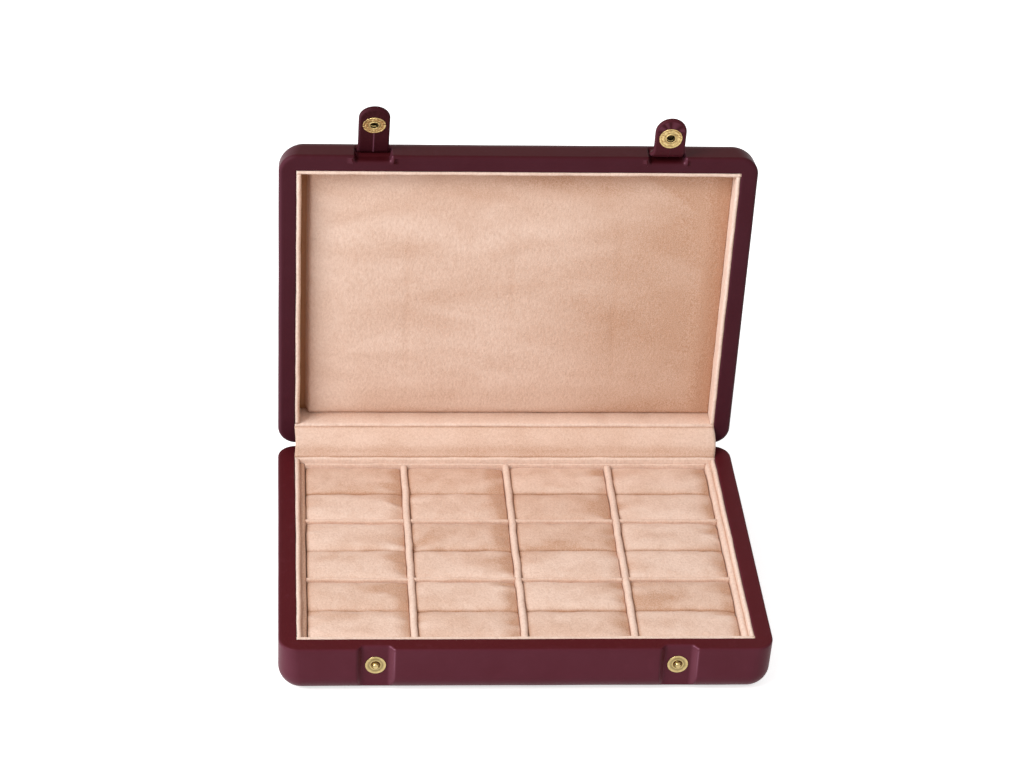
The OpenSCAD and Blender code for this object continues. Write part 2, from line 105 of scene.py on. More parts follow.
def colour(name, text, value):
    """A linear colour that a user may change."""
    return FloatVectorProperty(name=name, description=text, default=value, min=0.0, max=1.0, subtype="COLOR")


def share(name, text, value):
    """A number from 0 to 1 that a user may change."""
    return FloatProperty(name=name, description=text, default=value, min=0.0, max=1.0, subtype="FACTOR")


class RINGBOX_PG_leather(bpy.types.PropertyGroup):
    corner: distance("Corners", "Plan radius of the upright corners at the rims", 0.0100)
    base_corner: distance("Base corners", "Plan radius of the corners at the bottom of the base", 0.0120)
    lid_corner: distance("Lid corners", "Plan radius of the corners at the top of the lid", 0.0133)
    base_edge: distance("Base edge", "Radius of the rounded bottom edge of the base", 0.011)
    lid_edge: distance("Lid edge", "Radius of the rounded top edge of the lid", 0.010)
    side_rim: distance("Side rims", "Width of the left and right rims", 0.0092)
    front_rim: distance("Front rim", "Width of the front rims", 0.0088)
    back_rim: distance("Back rim", "Width of the rims at the hinge", 0.011)
    base_round: distance("Base rim rounding", "Radius along the outer edge of the base's rim", 0.0010)
    lid_round: distance("Lid rim rounding", "Radius along the outer edge of the lid's rim", 0.0020)
    bead: distance("Rim bead", "Radius along the inner edge of the rims", 0.0006)
    thickness: distance("Leather", "Thickness of the covering leather", 0.001)
    recess_w: distance("Recess width", "Width of the recesses between their outer edges", 0.021)
    base_flank: distance("Base flanks", "Radius along the edges of the base's recesses", 0.0022)
    lid_flank: distance("Lid flanks", "Radius along the edges of the lid's recesses", 0.0011)
    base_recess: distance("Base recess", "Depth of the recesses of the base", 0.0032)
    lid_recess: distance("Lid recess", "Depth of the recesses of the lid", 0.0031)
    lid_recess_z: distance("Recess end", "Height of the end of the lid's recesses", 0.0096)
    wave: distance("Waves", "How far the leather waves over the wood", 0.00012)


class RINGBOX_PG_suede(bpy.types.PropertyGroup):
    nap: distance("Nap", "How far the nap roughens the suede's edges", 0.00007)
    board_wave: distance("Board waves", "How far the covers of the boards wave", 0.00026)
    pad_crown: distance("Pad crown", "Fall of a pad from its crown to its sides", 0.0013)
    pad_end: distance("Pad ends", "Fall of a pad towards its ends", 0.0007)
    pad_fold: distance("Pad folds", "Depth of the folds at the ends of a pad", 0.00040)
    pad_pressure: FloatProperty(name="Pad pressure", description="Pressure that fills the pads", default=3.0)
    panel_edge: distance("Panel edge", "Thickness of the lid's padded panel at its edge", 0.0060)
    panel_crown: distance("Panel crown", "Rise of the lid's padded panel", 0.0008)
    panel_gap: distance("Panel gap", "Width of the groove at the left of the lid's panel", 0.0042)
    seed: IntProperty(name="Seed", description="Chooses the folds of the pads", default=7)


class RINGBOX_PG_strap(bpy.types.PropertyGroup):
    width: distance("Width", "Width of the straps", 0.0163)
    thickness: distance("Thickness", "Thickness of the straps", 0.0028)
    reach: distance("Reach", "From the root of a strap to its snap", 0.0219)
    left_tip: distance("Left tip", "From the snap to the tip of the left strap", 0.0124)
    right_tip: distance("Right tip", "From the snap to the tip of the right strap", 0.0112)
    left_bend: distance("Left bend", "From the root of the left strap to where it bends", 0.0)
    right_bend: distance("Right bend", "From the root of the right strap to where it bends", 0.0077)
    least_bend: distance("Least bend", "Shortest stretch on each side of a bend that is curved", 0.0015)
    seam: distance("Seam", "Height of the seam down the inner face", 0.00022)
    socket_r: distance("Socket", "Radius of the sockets' flanges", 0.006)
    stud_r: distance("Stud", "Radius of the studs' flanges", 0.0054)
    cap_r: distance("Cap", "Radius of the caps", 0.0063)


class RINGBOX_PG_colours(bpy.types.PropertyGroup):
    leather: colour("Leather", "Colour of the leather", (0.082, 0.0085, 0.012))
    # Painted reflection: leather that looks to the front is mixed towards this lighter, bluer red, which
    # stands in for the floor's reflection.
    leather_floor_reflection: colour("Front leather", "Colour of leather that looks to the front", (0.098, 0.020, 0.032))
    suede: colour("Suede", "Colour of the suede", (0.84, 0.63, 0.52))
    # Painted light: the suede is mixed towards this paler colour where the attribute pale is painted, on
    # faces and edges that the light falls on.
    suede_lit: colour("Pale suede", "Colour of the suede along its edges", (0.93, 0.76, 0.66))
    suede_deep: colour("Deep suede", "Colour of the suede in creases and shaded corners", (0.34, 0.14, 0.055))
    # Partly painted shade: the suede is mixed towards this brown where its nap lies over at random, and where
    # brushed paints shade on faces and parts that the light doesn't reach.
    suede_brushed: colour("Brushed suede", "Colour of the suede where its nap lies over", (0.53, 0.29, 0.18))
    brass: colour("Brass", "Colour of the studs and caps", (0.46, 0.35, 0.16))
    gilt: colour("Gilt", "Colour of the sockets", (0.58, 0.43, 0.19))
    wood: colour("Wood", "Colour of the shells", (0.53, 0.34, 0.16))
    gloss: share("Leather roughness", "Roughness of the leather", 0.34)


# Node trees


def plug(tree, socket, value):
    """Sets a socket to a value, or links it to another node's output."""
    if isinstance(value, Wire):
        tree.links.new(value.out, socket)
    elif socket.type == "RGBA" and len(value) == 3:
        socket.default_value = (*value, 1.0)
    else:
        socket.default_value = value


class Wire:
    """One output of a node, so that maths between nodes is written as an expression."""

    def __init__(self, tree, out):
        self.tree, self.out = tree, out

    def math(self, operation, first, second):
        node = self.tree.nodes.new("ShaderNodeMath")
        node.operation = operation
        plug(self.tree, node.inputs[0], first)
        plug(self.tree, node.inputs[1], second)
        return Wire(self.tree, node.outputs[0])

    def __add__(self, other):
        return self.math("ADD", self, other)

    def __mul__(self, other):
        return self.math("MULTIPLY", self, other)

    __radd__ = __add__


class Graph:
    """A node tree under construction."""

    def __init__(self, tree):
        self.tree = tree

    def node(self, kind, settings, values, out=0):
        """Adds a node, sets it up, feeds its sockets and returns one of its outputs."""
        node = self.tree.nodes.new(kind)
        for key, value in settings.items():
            if key == "stops":
                for stop, (place, tone) in zip(node.color_ramp.elements, value):
                    stop.position = place
                    stop.color = (tone, tone, tone, 1.0)
            else:
                setattr(node, key, value)
        for key, value in values.items():
            plug(self.tree, node.inputs[key], value)
        return Wire(self.tree, node.outputs[out]) if len(node.outputs) else None


class Finish(Graph):
    """A material under construction."""

    def __init__(self, name):
        self.material = bpy.data.materials.new(name)
        self.material.use_nodes = True
        super().__init__(self.material.node_tree)
        self.tree.nodes.clear()
        self.place = self.node("ShaderNodeTexCoord", {}, {}, "Object")

    def noise(self, size, detail=2.0, stretch=(1.0, 1.0, 1.0), distortion=0.0):
        """Noise with features of about that size in metres."""
        place = self.node("ShaderNodeMapping", {}, {"Vector": self.place, "Scale": stretch})
        values = {"Vector": place, "Scale": 1.0 / size, "Detail": detail, "Distortion": distortion}
        return self.node("ShaderNodeTexNoise", {}, values)

    def cells(self, size):
        """Rounded cells of about that size in metres."""
        values = {"Vector": self.place, "Scale": 1.0 / size, "Smoothness": 0.6}
        return self.node("ShaderNodeTexVoronoi", {"feature": "SMOOTH_F1"}, values)

    def steps(self, value, low, high):
        """0 below low, 1 above high, and even between them."""
        return self.node("ShaderNodeValToRGB", {"stops": [(low, 0.0), (high, 1.0)]}, {"Fac": value})

    def attribute(self, name):
        return self.node("ShaderNodeAttribute", {"attribute_name": name}, {}, "Fac")

    def mix(self, factor, first, second, blend="MIX"):
        settings = {"data_type": "RGBA", "blend_type": blend, "clamp_factor": True}
        return self.node("ShaderNodeMix", settings, {0: factor, 6: first, 7: second}, 2)

    def bump(self, height, depth, strength=1.0):
        return self.node("ShaderNodeBump", {}, {"Height": height, "Distance": depth, "Strength": strength})

    def surface(self, **values):
        """Ends the material in one Principled BSDF."""
        values = {key.replace("_", " "): value for key, value in values.items()}
        shader = self.node("ShaderNodeBsdfPrincipled", {}, values)
        self.node("ShaderNodeOutputMaterial", {}, {"Surface": shader})
        return self.material


def material(name, build):
    """The material of that name, built the first time that it is asked for."""
    found = bpy.data.materials.get(name)
    return found or build(Finish(name))


def tinted(rgb, factor):
    return tuple(min(1.0, c * factor) for c in rgb)


def leather_finish(factor):
    """Smooth calf leather: faint pores and creases under a thin coat, thicker along the recesses, with
    painted shade, painted highlights and a painted floor reflection in its colour.
    """

    def build(f):
        c = bpy.context.scene.ringbox_colours
        rgb, front = tinted(c.leather, factor), tinted(c.leather_floor_reflection, factor)
        mottle = f.noise(0.022, 3.0)
        pores = f.cells(0.0007)
        grain = f.noise(0.00035, 3.0)
        worn = f.noise(0.006, 4.0)
        # Painted reflection: where the attribute front is painted, the leather takes the floor reflection's
        # colour.
        tone = f.mix(f.attribute("front"), rgb, front)
        tone = f.mix(f.steps(mottle, 0.3, 0.7) * 0.25, tone, tinted(rgb, 0.8))
        tone = f.mix(f.steps(worn, 0.55, 0.8) * 0.2, tone, tinted(front, 1.3))
        # Painted shade: fold darkens the recesses' left flanks, which face away from the light, and the
        # pleats at the straps' tips.
        tone = f.mix(f.attribute("fold"), tone, tinted(rgb, 0.4))
        # Painted highlight: worn and polish mix in a light pink where light falls, on left-facing walls, the
        # recesses' right flanks and rounded edges, and the straps' seams and edges.
        tone = f.mix(f.attribute("worn") + f.attribute("polish") * 0.55, tone, (0.36, 0.13, 0.20))
        return f.surface(
            Base_Color=tone,
            Roughness=c.gloss + mottle * 0.06 + grain * 0.05,
            Normal=f.bump(pores * 0.7 + grain * 0.5 + worn * 1.5, 0.00005, 0.5),
            Specular_IOR_Level=0.05,
            Coat_Weight=f.attribute("polish") * 0.4,
            Coat_Roughness=0.22,
        )

    return build


def suede_finish(patch, low, high, stretch=(1.0, 1.0, 1.0), patches=0.45):
    """Short-napped suede whose nap lies over in patches of that size and where brushing laid it down, with
    painted light and painted shade in its colour.
    """

    def build(f):
        c = bpy.context.scene.ringbox_colours
        rgb, over = tuple(c.suede), tuple(c.suede_brushed)
        fibres = f.noise(0.0005, 3.0)
        tufts = f.noise(0.0012, 3.0, (1.0, 1.0, 0.6))
        lay = f.noise(patch, 4.0, stretch, 0.6)
        streaks = f.noise(0.003, 2.0, (0.35, 1.6, 1.6))
        brushed_and_shaded_share = f.steps(lay + tufts * 0.12 + streaks * 0.06, low, high) * patches
        # brushed adds nap laid by brushing and painted shade.
        brushed_and_shaded_share = brushed_and_shaded_share + f.attribute("brushed")
        tone = f.mix(brushed_and_shaded_share, rgb, over)
        # Painted light: pale lightens faces and edges that look towards the light.
        tone = f.mix(f.attribute("pale"), tone, tuple(c.suede_lit))
        tone = f.mix(f.steps(tufts, 0.34, 0.72) * 0.32, tone, tinted(over, 0.95))
        tone = f.mix(f.steps(fibres, 0.38, 0.66) * 0.40, tone, tinted(rgb, 1.12))
        # Painted shade: the attribute deep mixes in the dark suede colour in creases, grooves, crevices and
        # shaded corners.
        tone = f.mix(f.attribute("deep"), tone, tuple(c.suede_deep))
        height = fibres * 0.6 + tufts * 1.2 + lay * 0.8
        return f.surface(
            Base_Color=tone,
            Roughness=0.9 + brushed_and_shaded_share * 0.06,
            Normal=f.bump(height, 0.0003, 0.9),
            Specular_IOR_Level=0.12,
            Sheen_Weight=0.18,
            Sheen_Roughness=0.45,
            Sheen_Tint=(1.0, 0.93, 0.86),
        )

    return build


def brass_finish(f, rgb, rough, dented):
    """Polished brass with fine scratches and faint tarnish, darkened by dirt in its grooves and by painted
    shade in its hollows.
    """
    tarnish = f.noise(0.0022, 4.0)
    dents = f.noise(0.0011, 1.0)
    scratches = f.noise(0.0004, 2.0, (0.2, 1.0, 1.0))
    grime = f.attribute("grime")
    tone = f.mix(f.steps(tarnish, 0.35, 0.75) * 0.6, tinted(rgb, 1.1), tinted(rgb, 0.62))
    # Dirt in the grooves, and painted shade in the hollows and holes, darken the brass.
    tone = f.mix(grime, tone, tinted(rgb, 0.22))
    return f.surface(
        Base_Color=tone,
        Metallic=1.0,
        Roughness=rough + tarnish * 0.14 + scratches * 0.06 + grime * 0.3,
        Normal=f.bump(scratches + tarnish * 2.0 + dents * dented, 0.00003, 0.8),
    )


def pale_brass(f):
    return brass_finish(f, tuple(bpy.context.scene.ringbox_colours.brass), 0.16, 5.0)


def gilt_brass(f):
    return brass_finish(f, tuple(bpy.context.scene.ringbox_colours.gilt), 0.18, 22.0)


def wood_finish(f):
    """Bare plywood, with its grain along X."""
    rgb = tuple(bpy.context.scene.ringbox_colours.wood)
    grain = f.noise(0.004, 5.0, (0.08, 1.0, 1.0), 1.5)
    tone = f.mix(f.steps(grain, 0.35, 0.65), tinted(rgb, 0.75), tinted(rgb, 1.1))
    return f.surface(Base_Color=tone, Roughness=0.6 + grain * 0.2, Normal=f.bump(grain, 0.0001, 0.4))


def sole_finish(f):
    """Dark suede for the underside."""
    fibres = f.noise(0.0005, 3.0)
    lay = f.noise(0.02, 3.0)
    tone = f.mix(f.steps(lay, 0.35, 0.65), (0.055, 0.016, 0.021), (0.082, 0.026, 0.033))
    bump = f.bump(fibres + lay * 0.5, 0.0002, 0.7)
    return f.surface(Base_Color=tone, Roughness=0.92 + fibres * 0.05, Normal=bump, Sheen_Weight=0.2)


PAD_SUEDE = suede_finish(0.011, 0.48, 0.86, patches=0.35)
LINING_SUEDE = suede_finish(0.016, 0.50, 0.90, patches=0.3)
PANEL_SUEDE = suede_finish(0.030, 0.44, 0.84, (0.55, 1.0, 1.4), 0.4)
GUSSET_SUEDE = suede_finish(0.020, 0.46, 0.88, (0.5, 1.0, 1.0), 0.35)


# Mesh helpers


def ripple(points, size, seed, stretch=(1.0, 1.0, 1.0)):
    """Smooth noise from -1 to 1 at each point, with features of that size in metres."""
    shift = Vector((seed * 17.3, seed * 5.1, seed * 9.7))
    scale = np.array(stretch) / size
    return np.array([noise.noise(Vector(p) + shift) for p in np.asarray(points) * scale])


def smooth_max(a, b, soft):
    return (a + b + np.sqrt((a - b) ** 2 + soft**2)) / 2


def bell(x):
    return np.exp(-x * x)


def grid_faces(rows, columns, closed):
    """Quads of a grid of points, row after row. A closed grid joins its last column to its first."""
    faces = []
    for r in range(rows - 1):
        for c in range(columns if closed else columns - 1):
            d = (c + 1) % columns
            faces.append((r * columns + c, r * columns + d, (r + 1) * columns + d, (r + 1) * columns + c))
    return faces


def block(nx, ny, nz):
    """The surface of a box as a grid of points from -1 to 1, and its quads, which face outwards."""
    index, points, faces = {}, [], []

    def at(i, j, k):
        if (i, j, k) not in index:
            index[i, j, k] = len(points)
            points.append((2 * i / nx - 1, 2 * j / ny - 1, 2 * k / nz - 1))
        return index[i, j, k]

    for i in range(nx):
        for j in range(ny):
            faces.append((at(i, j, nz), at(i + 1, j, nz), at(i + 1, j + 1, nz), at(i, j + 1, nz)))
            faces.append((at(i, j, 0), at(i, j + 1, 0), at(i + 1, j + 1, 0), at(i + 1, j, 0)))
        for k in range(nz):
            faces.append((at(i, 0, k), at(i + 1, 0, k), at(i + 1, 0, k + 1), at(i, 0, k + 1)))
            faces.append((at(i, ny, k), at(i, ny, k + 1), at(i + 1, ny, k + 1), at(i + 1, ny, k)))
    for j in range(ny):
        for k in range(nz):
            faces.append((at(0, j, k), at(0, j, k + 1), at(0, j + 1, k + 1), at(0, j + 1, k)))
            faces.append((at(nx, j, k), at(nx, j + 1, k), at(nx, j + 1, k + 1), at(nx, j, k + 1)))
    return np.array(points), faces


def turned(points, matrix):
    """The points moved by a matrix."""
    m = np.array(matrix)
    return np.asarray(points) @ m[:3, :3].T + m[:3, 3]


def new_piece(name, points, faces, finish, merge=0.0, attributes=None):
    """A smooth mesh object with one material, at the origin."""
    mesh = bpy.data.meshes.new(name)
    mesh.from_pydata(np.asarray(points).tolist(), [], faces)
    for key, values in (attributes or {}).items():
        mesh.attributes.new(key, "FLOAT", "POINT").data.foreach_set("value", np.asarray(values, np.float32))
    if merge:
        tidy = bmesh.new()
        tidy.from_mesh(mesh)
        bmesh.ops.remove_doubles(tidy, verts=tidy.verts, dist=merge)
        bmesh.ops.recalc_face_normals(tidy, faces=tidy.faces)
        tidy.to_mesh(mesh)
        tidy.free()
    mesh.shade_smooth()
    mesh.materials.append(finish)
    piece = bpy.data.objects.new(name, mesh)
    bpy.context.scene.collection.objects.link(piece)
    return piece


def settle(piece, body, slot, *nodes):
    """Fixes a finished piece to its body, in place of the nodes that it stands for. The slot is not used."""
    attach(piece, body)
    if nodes:
        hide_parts(*nodes)
    return piece


def surface(piece):
    """Where the points of a piece are, and their normals."""
    mesh = piece.data
    place, normal = (np.empty(len(mesh.vertices) * 3, np.float32) for _ in range(2))
    mesh.vertices.foreach_get("co", place)
    mesh.vertex_normals.foreach_get("vector", normal)
    return place.reshape(-1, 3), normal.reshape(-1, 3)


def paint_on(piece, **layers):
    """Writes attributes that the piece's finish reads, each from 0 to 1."""
    for name, values in layers.items():
        values = np.clip(values, 0, 1) + np.zeros(len(piece.data.vertices))
        piece.data.attributes.new(name, "FLOAT", "POINT").data.foreach_set("value", values.astype(np.float32))


def plain_mesh(maker, name):
    """Turns what a piece's modifiers make into a plain mesh and drops them."""
    graph = bpy.context.evaluated_depsgraph_get()
    made = bpy.data.meshes.new_from_object(maker.evaluated_get(graph))
    made.name = name
    maker.modifiers.clear()
    maker.data = made
    return maker


class Shape(Graph):
    """Geometry Nodes under construction, with numbers and a finish for inputs."""

    def __init__(self, name, numbers):
        super().__init__(bpy.data.node_groups.new(name, "GeometryNodeTree"))
        face = self.tree.interface
        for number in numbers:
            face.new_socket(number, in_out="INPUT", socket_type="NodeSocketFloat")
        face.new_socket("Finish", in_out="INPUT", socket_type="NodeSocketMaterial")
        face.new_socket("Geometry", in_out="OUTPUT", socket_type="NodeSocketGeometry")
        given = self.tree.nodes.new("NodeGroupInput").outputs
        self.given = {key: Wire(self.tree, given[key]) for key in (*numbers, "Finish")}

    def vector(self, x=0.0, y=0.0, z=0.0):
        return self.node("ShaderNodeCombineXYZ", {}, {"X": x, "Y": y, "Z": z})

    def vectors(self, operation, first, second):
        return self.node("ShaderNodeVectorMath", {"operation": operation}, {0: first, 1: second})

    def swept(self, path, section):
        values = {"Curve": path, "Profile Curve": section, "Fill Caps": True}
        return self.node("GeometryNodeCurveToMesh", {}, values)

    def end(self, geometry):
        """Gives the geometry its finish and ends the tree in it."""
        whole = self.node("GeometryNodeRealizeInstances", {}, {0: geometry})
        values = {"Geometry": whole, "Material": self.given["Finish"]}
        self.node("NodeGroupOutput", {}, {"Geometry": self.node("GeometryNodeSetMaterial", {}, values)})
        return self.tree


def grown(name, tree, values):
    """A piece that Geometry Nodes make from these inputs, as a plain mesh."""
    maker = bpy.data.objects.new(name, bpy.data.meshes.new(name))
    bpy.context.scene.collection.objects.link(maker)
    modifier = maker.modifiers.new("Shape", "NODES")
    modifier.node_group = tree
    for item in tree.interface.items_tree:
        if item.in_out == "INPUT":
            modifier[item.identifier] = values[item.name]
    bpy.context.view_layer.update()
    return plain_mesh(maker, name)


def lathe(profile, steps, matrix):
    """Points, quads and darkening of a closed profile of (radius, height, darkening) in mm turned about Z;
    the darkening is dirt in grooves and painted shade in hollows.
    """
    angles = np.linspace(0, 2 * math.pi, steps, endpoint=False)
    table = np.array([(*point, 0.0)[:3] for point in profile])
    ring = np.stack([np.cos(angles), np.sin(angles)], 1)
    points = [(r * c * MM, r * s * MM, z * MM) for r, z, _ in table for c, s in ring]
    return turned(points, matrix), grid_faces(len(profile), steps, True), np.repeat(table[:, 2], steps)


def arc(cx, cz, radius, start, end, steps):
    """Points of an arc in a section, with its angles in degrees."""
    angles = np.radians(np.linspace(start, end, steps))
    return [(cx + radius * math.cos(a), cz + radius * math.sin(a)) for a in angles]


# Places


def lid_place():
    """From a lid with its rim upwards and its top on z = 0 to the open lid."""
    flip = Matrix.Diagonal((1, 1, -1, 1))
    return open_lid() @ Matrix.Translation((0, 0, LID_TOP)) @ flip


def open_lid():
    """From the shut lid's place to the open lid's."""
    return Matrix.Translation(HINGE) @ Matrix.Rotation(-LID_OPEN, 4, "X") @ Matrix.Translation(-HINGE)


def strap_place(side):
    """From a strap that hangs down -Z from its axis, inner face to +Y, to its place."""
    place = Matrix.Translation(JOINTS[f"strap_{side}_bend"]["pos_m"])
    return place @ Matrix.Rotation(-LID_OPEN - STRAP_LEAN[side], 4, "X")


def strap_bend(side):
    """From the root of a strap to where it bends."""
    return getattr(bpy.context.scene.ringbox_strap, side + "_bend")


def snap_place(side):
    """From a socket whose face looks up +Z to its place on its strap."""
    strap = bpy.context.scene.ringbox_strap
    at = Matrix.Translation((0, strap.thickness / 2, strap_bend(side) - strap.reach))
    return strap_place(side) @ at @ Matrix.Rotation(-math.pi / 2, 4, "X")


# Leather covers


def recess_stations(depth, flank, slope, sizes):
    """Across one recess from left to right: place, depth and the inward normal of its outline."""
    slant = math.radians(slope)
    drop = (depth - 2 * flank * (1 - math.cos(slant))) / math.sin(slant)
    left = -sizes.recess_w / 2
    x = left + 2 * flank * math.sin(slant) + drop * math.cos(slant)
    found = []
    for a in np.linspace(0, slant, 9):
        found.append((left + flank * math.sin(a), flank * (1 - math.cos(a)), -math.sin(a), math.cos(a)))
    for a in np.linspace(slant, 0, 10):
        found.append((x - flank * math.sin(a), depth - flank * (1 - math.cos(a)), -math.sin(a), math.cos(a)))
    found += [(x, depth, 0.0, 1.0) for x in np.linspace(x, 0, 6)[1:]]
    found += [(-x, d, -nx, ny) for x, d, nx, ny in reversed(found[:-1])]
    return found


def cover_outline(recess, sizes):
    """Plan outline of a cover, anticlockwise.

    Each station is its point with sharp corners, how that moves as the corners' radius grows, its inward
    normal, and the depth and normal of the recess there.
    """
    widest = max(sizes.corner, sizes.base_corner, sizes.lid_corner)
    edge = recess[-1][0]
    front, last = [], widest - HALF_W
    for middle in STRAP_X.values():
        count = max(3, round((middle - edge - last) / 0.003))
        front += [(x, 0.0, 0.0, 1.0) for x in np.linspace(last, middle - edge, count)[:-1]]
        front += [(middle + x, d, nx, ny) for x, d, nx, ny in recess]
        last = middle + edge
    front += [(x, 0.0, 0.0, 1.0) for x in np.linspace(last, HALF_W - widest, 14)[1:]]
    stations = [(x, FRONT_Y, 0, 0, 0, 1, d, nx, ny) for x, d, nx, ny in front]
    ends = np.linspace(FRONT_Y + widest, BACK_Y - widest, 42)
    across = np.linspace(HALF_W - widest, widest - HALF_W, 60)
    straights = [
        [(HALF_W, y, 0, 0, -1, 0, 0, -1, 0) for y in ends],
        [(x, BACK_Y, 0, 0, 0, -1, 0, 0, -1) for x in across],
        [(-HALF_W, y, 0, 0, 1, 0, 0, 1, 0) for y in ends[::-1]],
        [],
    ]
    corners = [(1, -1, FRONT_Y), (1, 1, BACK_Y), (-1, 1, BACK_Y), (-1, -1, FRONT_Y)]
    for quarter, (sx, sy, y) in enumerate(corners):
        for a in np.radians(np.linspace(-90, 0, 19)) + math.radians(90 * quarter):
            way = (math.cos(a), math.sin(a))
            inward = (-way[0], -way[1])
            stations.append((sx * HALF_W, y, way[0] - sx, way[1] - sy, *inward, 0, *inward))
        stations += straights[quarter]
    return np.array(stations)


def cover(height, edge_r, rim_round, low_corner, recess, recess_z, sizes, seed):
    """Points, faces and paint of a leather cover with its rim upwards and its bottom on z = 0."""
    stations = cover_outline(recess, sizes)
    sharp, growth, n0, deep, n = np.split(stations, [2, 4, 6, 7], axis=1)
    deep = deep[:, 0]
    at_front = n0[:, 1] > 0.999
    rise = height - rim_round
    rows = []

    def outline(z):
        share_down = min(1.0, max(0.0, (rise - z) / (rise - 0.6 * edge_r)))
        return sharp + (sizes.corner + (low_corner - sizes.corner) * share_down) * growth

    def wall_row(e, z, extra=0.0):
        flat = outline(z) + e * n0
        t = min(1.0, max(0.0, (z - recess_z) / 0.002 + 0.15)) if recess_z > 0 else 1.0
        floor = sharp[:, 1] + deep * t * t * (3 - 2 * t) + extra * (deep > 1e-7)
        soft = np.where(deep > 1e-7, 0.0006 * min(1.0, e / 0.002), 0.0)
        y = np.where(at_front, smooth_max(flat[:, 1], floor, soft), flat[:, 1])
        rows.append(np.stack([flat[:, 0], y, np.full(len(y), z)], 1))

    def plan_row(points, z):
        rows.append(np.concatenate([points, np.full((len(points), 1), z)], 1))

    low = low_corner - 0.0001
    wall_row(low, 0.0)
    for a in np.radians(np.linspace(0, 90, 17)):
        wall_row(edge_r - edge_r * math.sin(a), edge_r - edge_r * math.cos(a))
    for z in np.linspace(edge_r, rise, 15)[1:-1]:
        wall_row(0.0, z)
    p = outline(rise)
    p[:, 1] += deep
    for a in np.radians(np.linspace(0, 90, 7)):
        plan_row(p + rim_round * (1 - math.cos(a)) * n, rise + rim_round * math.sin(a))
    outer = p + rim_round * n
    least = np.array((sizes.side_rim - HALF_W, FRONT_Y + sizes.front_rim))
    most = np.array((HALF_W - sizes.side_rim, BACK_Y - sizes.back_rim))
    inner = np.clip(p, least, most)
    inner_n = (inner > most - 1e-9).astype(float) - (inner < least + 1e-9)
    bead_out = inner + sizes.bead * inner_n
    for t in np.linspace(0, 1, 8)[1:]:
        plan_row(outer * (1 - t) + bead_out * t, height)
    for a in np.radians(np.linspace(0, 90, 5))[1:]:
        plan_row(inner + sizes.bead * (1 - math.sin(a)) * inner_n, height - sizes.bead * (1 - math.cos(a)))
    outside = len(rows)
    plan_row(inner, height - sizes.thickness)
    plan_row(p + sizes.thickness * n, height - sizes.thickness)
    t, r_in = sizes.thickness, edge_r - sizes.thickness
    for a in np.radians(np.linspace(90, 0, 9)):
        wall_row(t + r_in - r_in * math.sin(a), t + r_in - r_in * math.cos(a), t)
    wall_row(low, t, t)
    points = np.concatenate(rows)
    skin = slice(0, outside * len(p))
    for axis in range(3):
        points[skin, axis] += sizes.wave * ripple(points[skin], 0.035, seed + axis)
        points[skin, axis] += sizes.wave * 0.25 * ripple(points[skin], 0.009, seed + 5 + axis)
    count = len(p)
    faces = grid_faces(len(rows), count, True)
    faces.append(tuple(reversed(range(count))))
    faces.append(tuple(range((len(rows) - 1) * count, len(rows) * count)))
    # Painted highlight: the recesses' right flanks, their rounded outer edges and the rim's rounding at their
    # right corners face the light and are painted lighter; polish also gives them a real coat.
    right, left = (np.clip(way * n[:, 0], 0, 1) * at_front for way in (1, -1))
    lip_highlight = bell((right - 0.45) / 0.12) * (deep < 0.5 * deep.max())
    high = np.arange(len(rows))[:, None]
    wall = high < outside - 18
    edge = bell((high - outside + 16) / (1.1 if recess_z == 0 else 0.7)) * bell((right - 0.65) / 0.25)
    flank = 0.32 * right**2 * (1 - 0.8 * deep / deep.max())
    polish = wall * (flank + 0.5 * lip_highlight) * (recess_z == 0) + edge
    # Painted shade: the recesses' left flanks, which face away from the light, are darkened.
    fold = (wall | (high < outside - 14)) * left**0.5 * (0.35 if recess_z == 0 else 0.8)
    faded = np.clip((points[:, 2] - 0.006) / 0.013, 0, 1)
    return points, faces, {"polish": np.clip(polish.ravel() * faded, 0, 1), "fold": fold.ravel() * faded}


class RINGBOX_OT_covers(bpy.types.Operator):
    """Make the leather covers of the base and the lid"""

    bl_idname = "ringbox.covers"
    bl_label = "Leather covers"

    def execute(self, context):
        s = context.scene.ringbox_leather
        sole = BASE_LOW.z
        recess = recess_stations(s.base_recess, s.base_flank, BASE_FLANK_SLOPE, s)
        form = (RIM_Z - sole, s.base_edge, s.base_round, s.base_corner)
        points, faces, paint = cover(*form, recess, 0.0, s, 1)
        self.piece("base", points + np.array((0, 0, sole)), faces, paint, BASE_TONE)
        recess = recess_stations(s.lid_recess, s.lid_flank, LID_FLANK_SLOPE, s)
        form = (LID_H, s.lid_edge, s.lid_round, s.lid_corner)
        points, faces, paint = cover(*form, recess, s.lid_recess_z, s, 4)
        self.piece("lid", turned(points, lid_place()), faces, paint, LID_TONE)
        return {"FINISHED"}

    def piece(self, body, points, faces, paint, factor):
        finish = material(f"Oxblood leather of the {body}", leather_finish(factor))
        piece = new_piece(body + "_cover", points, faces, finish, 1e-7, paint)
        place, normal = surface(piece)
        # Painted reflection and highlight: walls that look to the front take the floor reflection's colour,
        # and walls that look left, towards the light, are painted a little lighter.
        paint_on(piece, front=-normal[:, 1], worn=-0.2 * normal[:, 0])
        settle(piece, body, "oxblood_leather", body + "_leather")


# Suede-covered boards


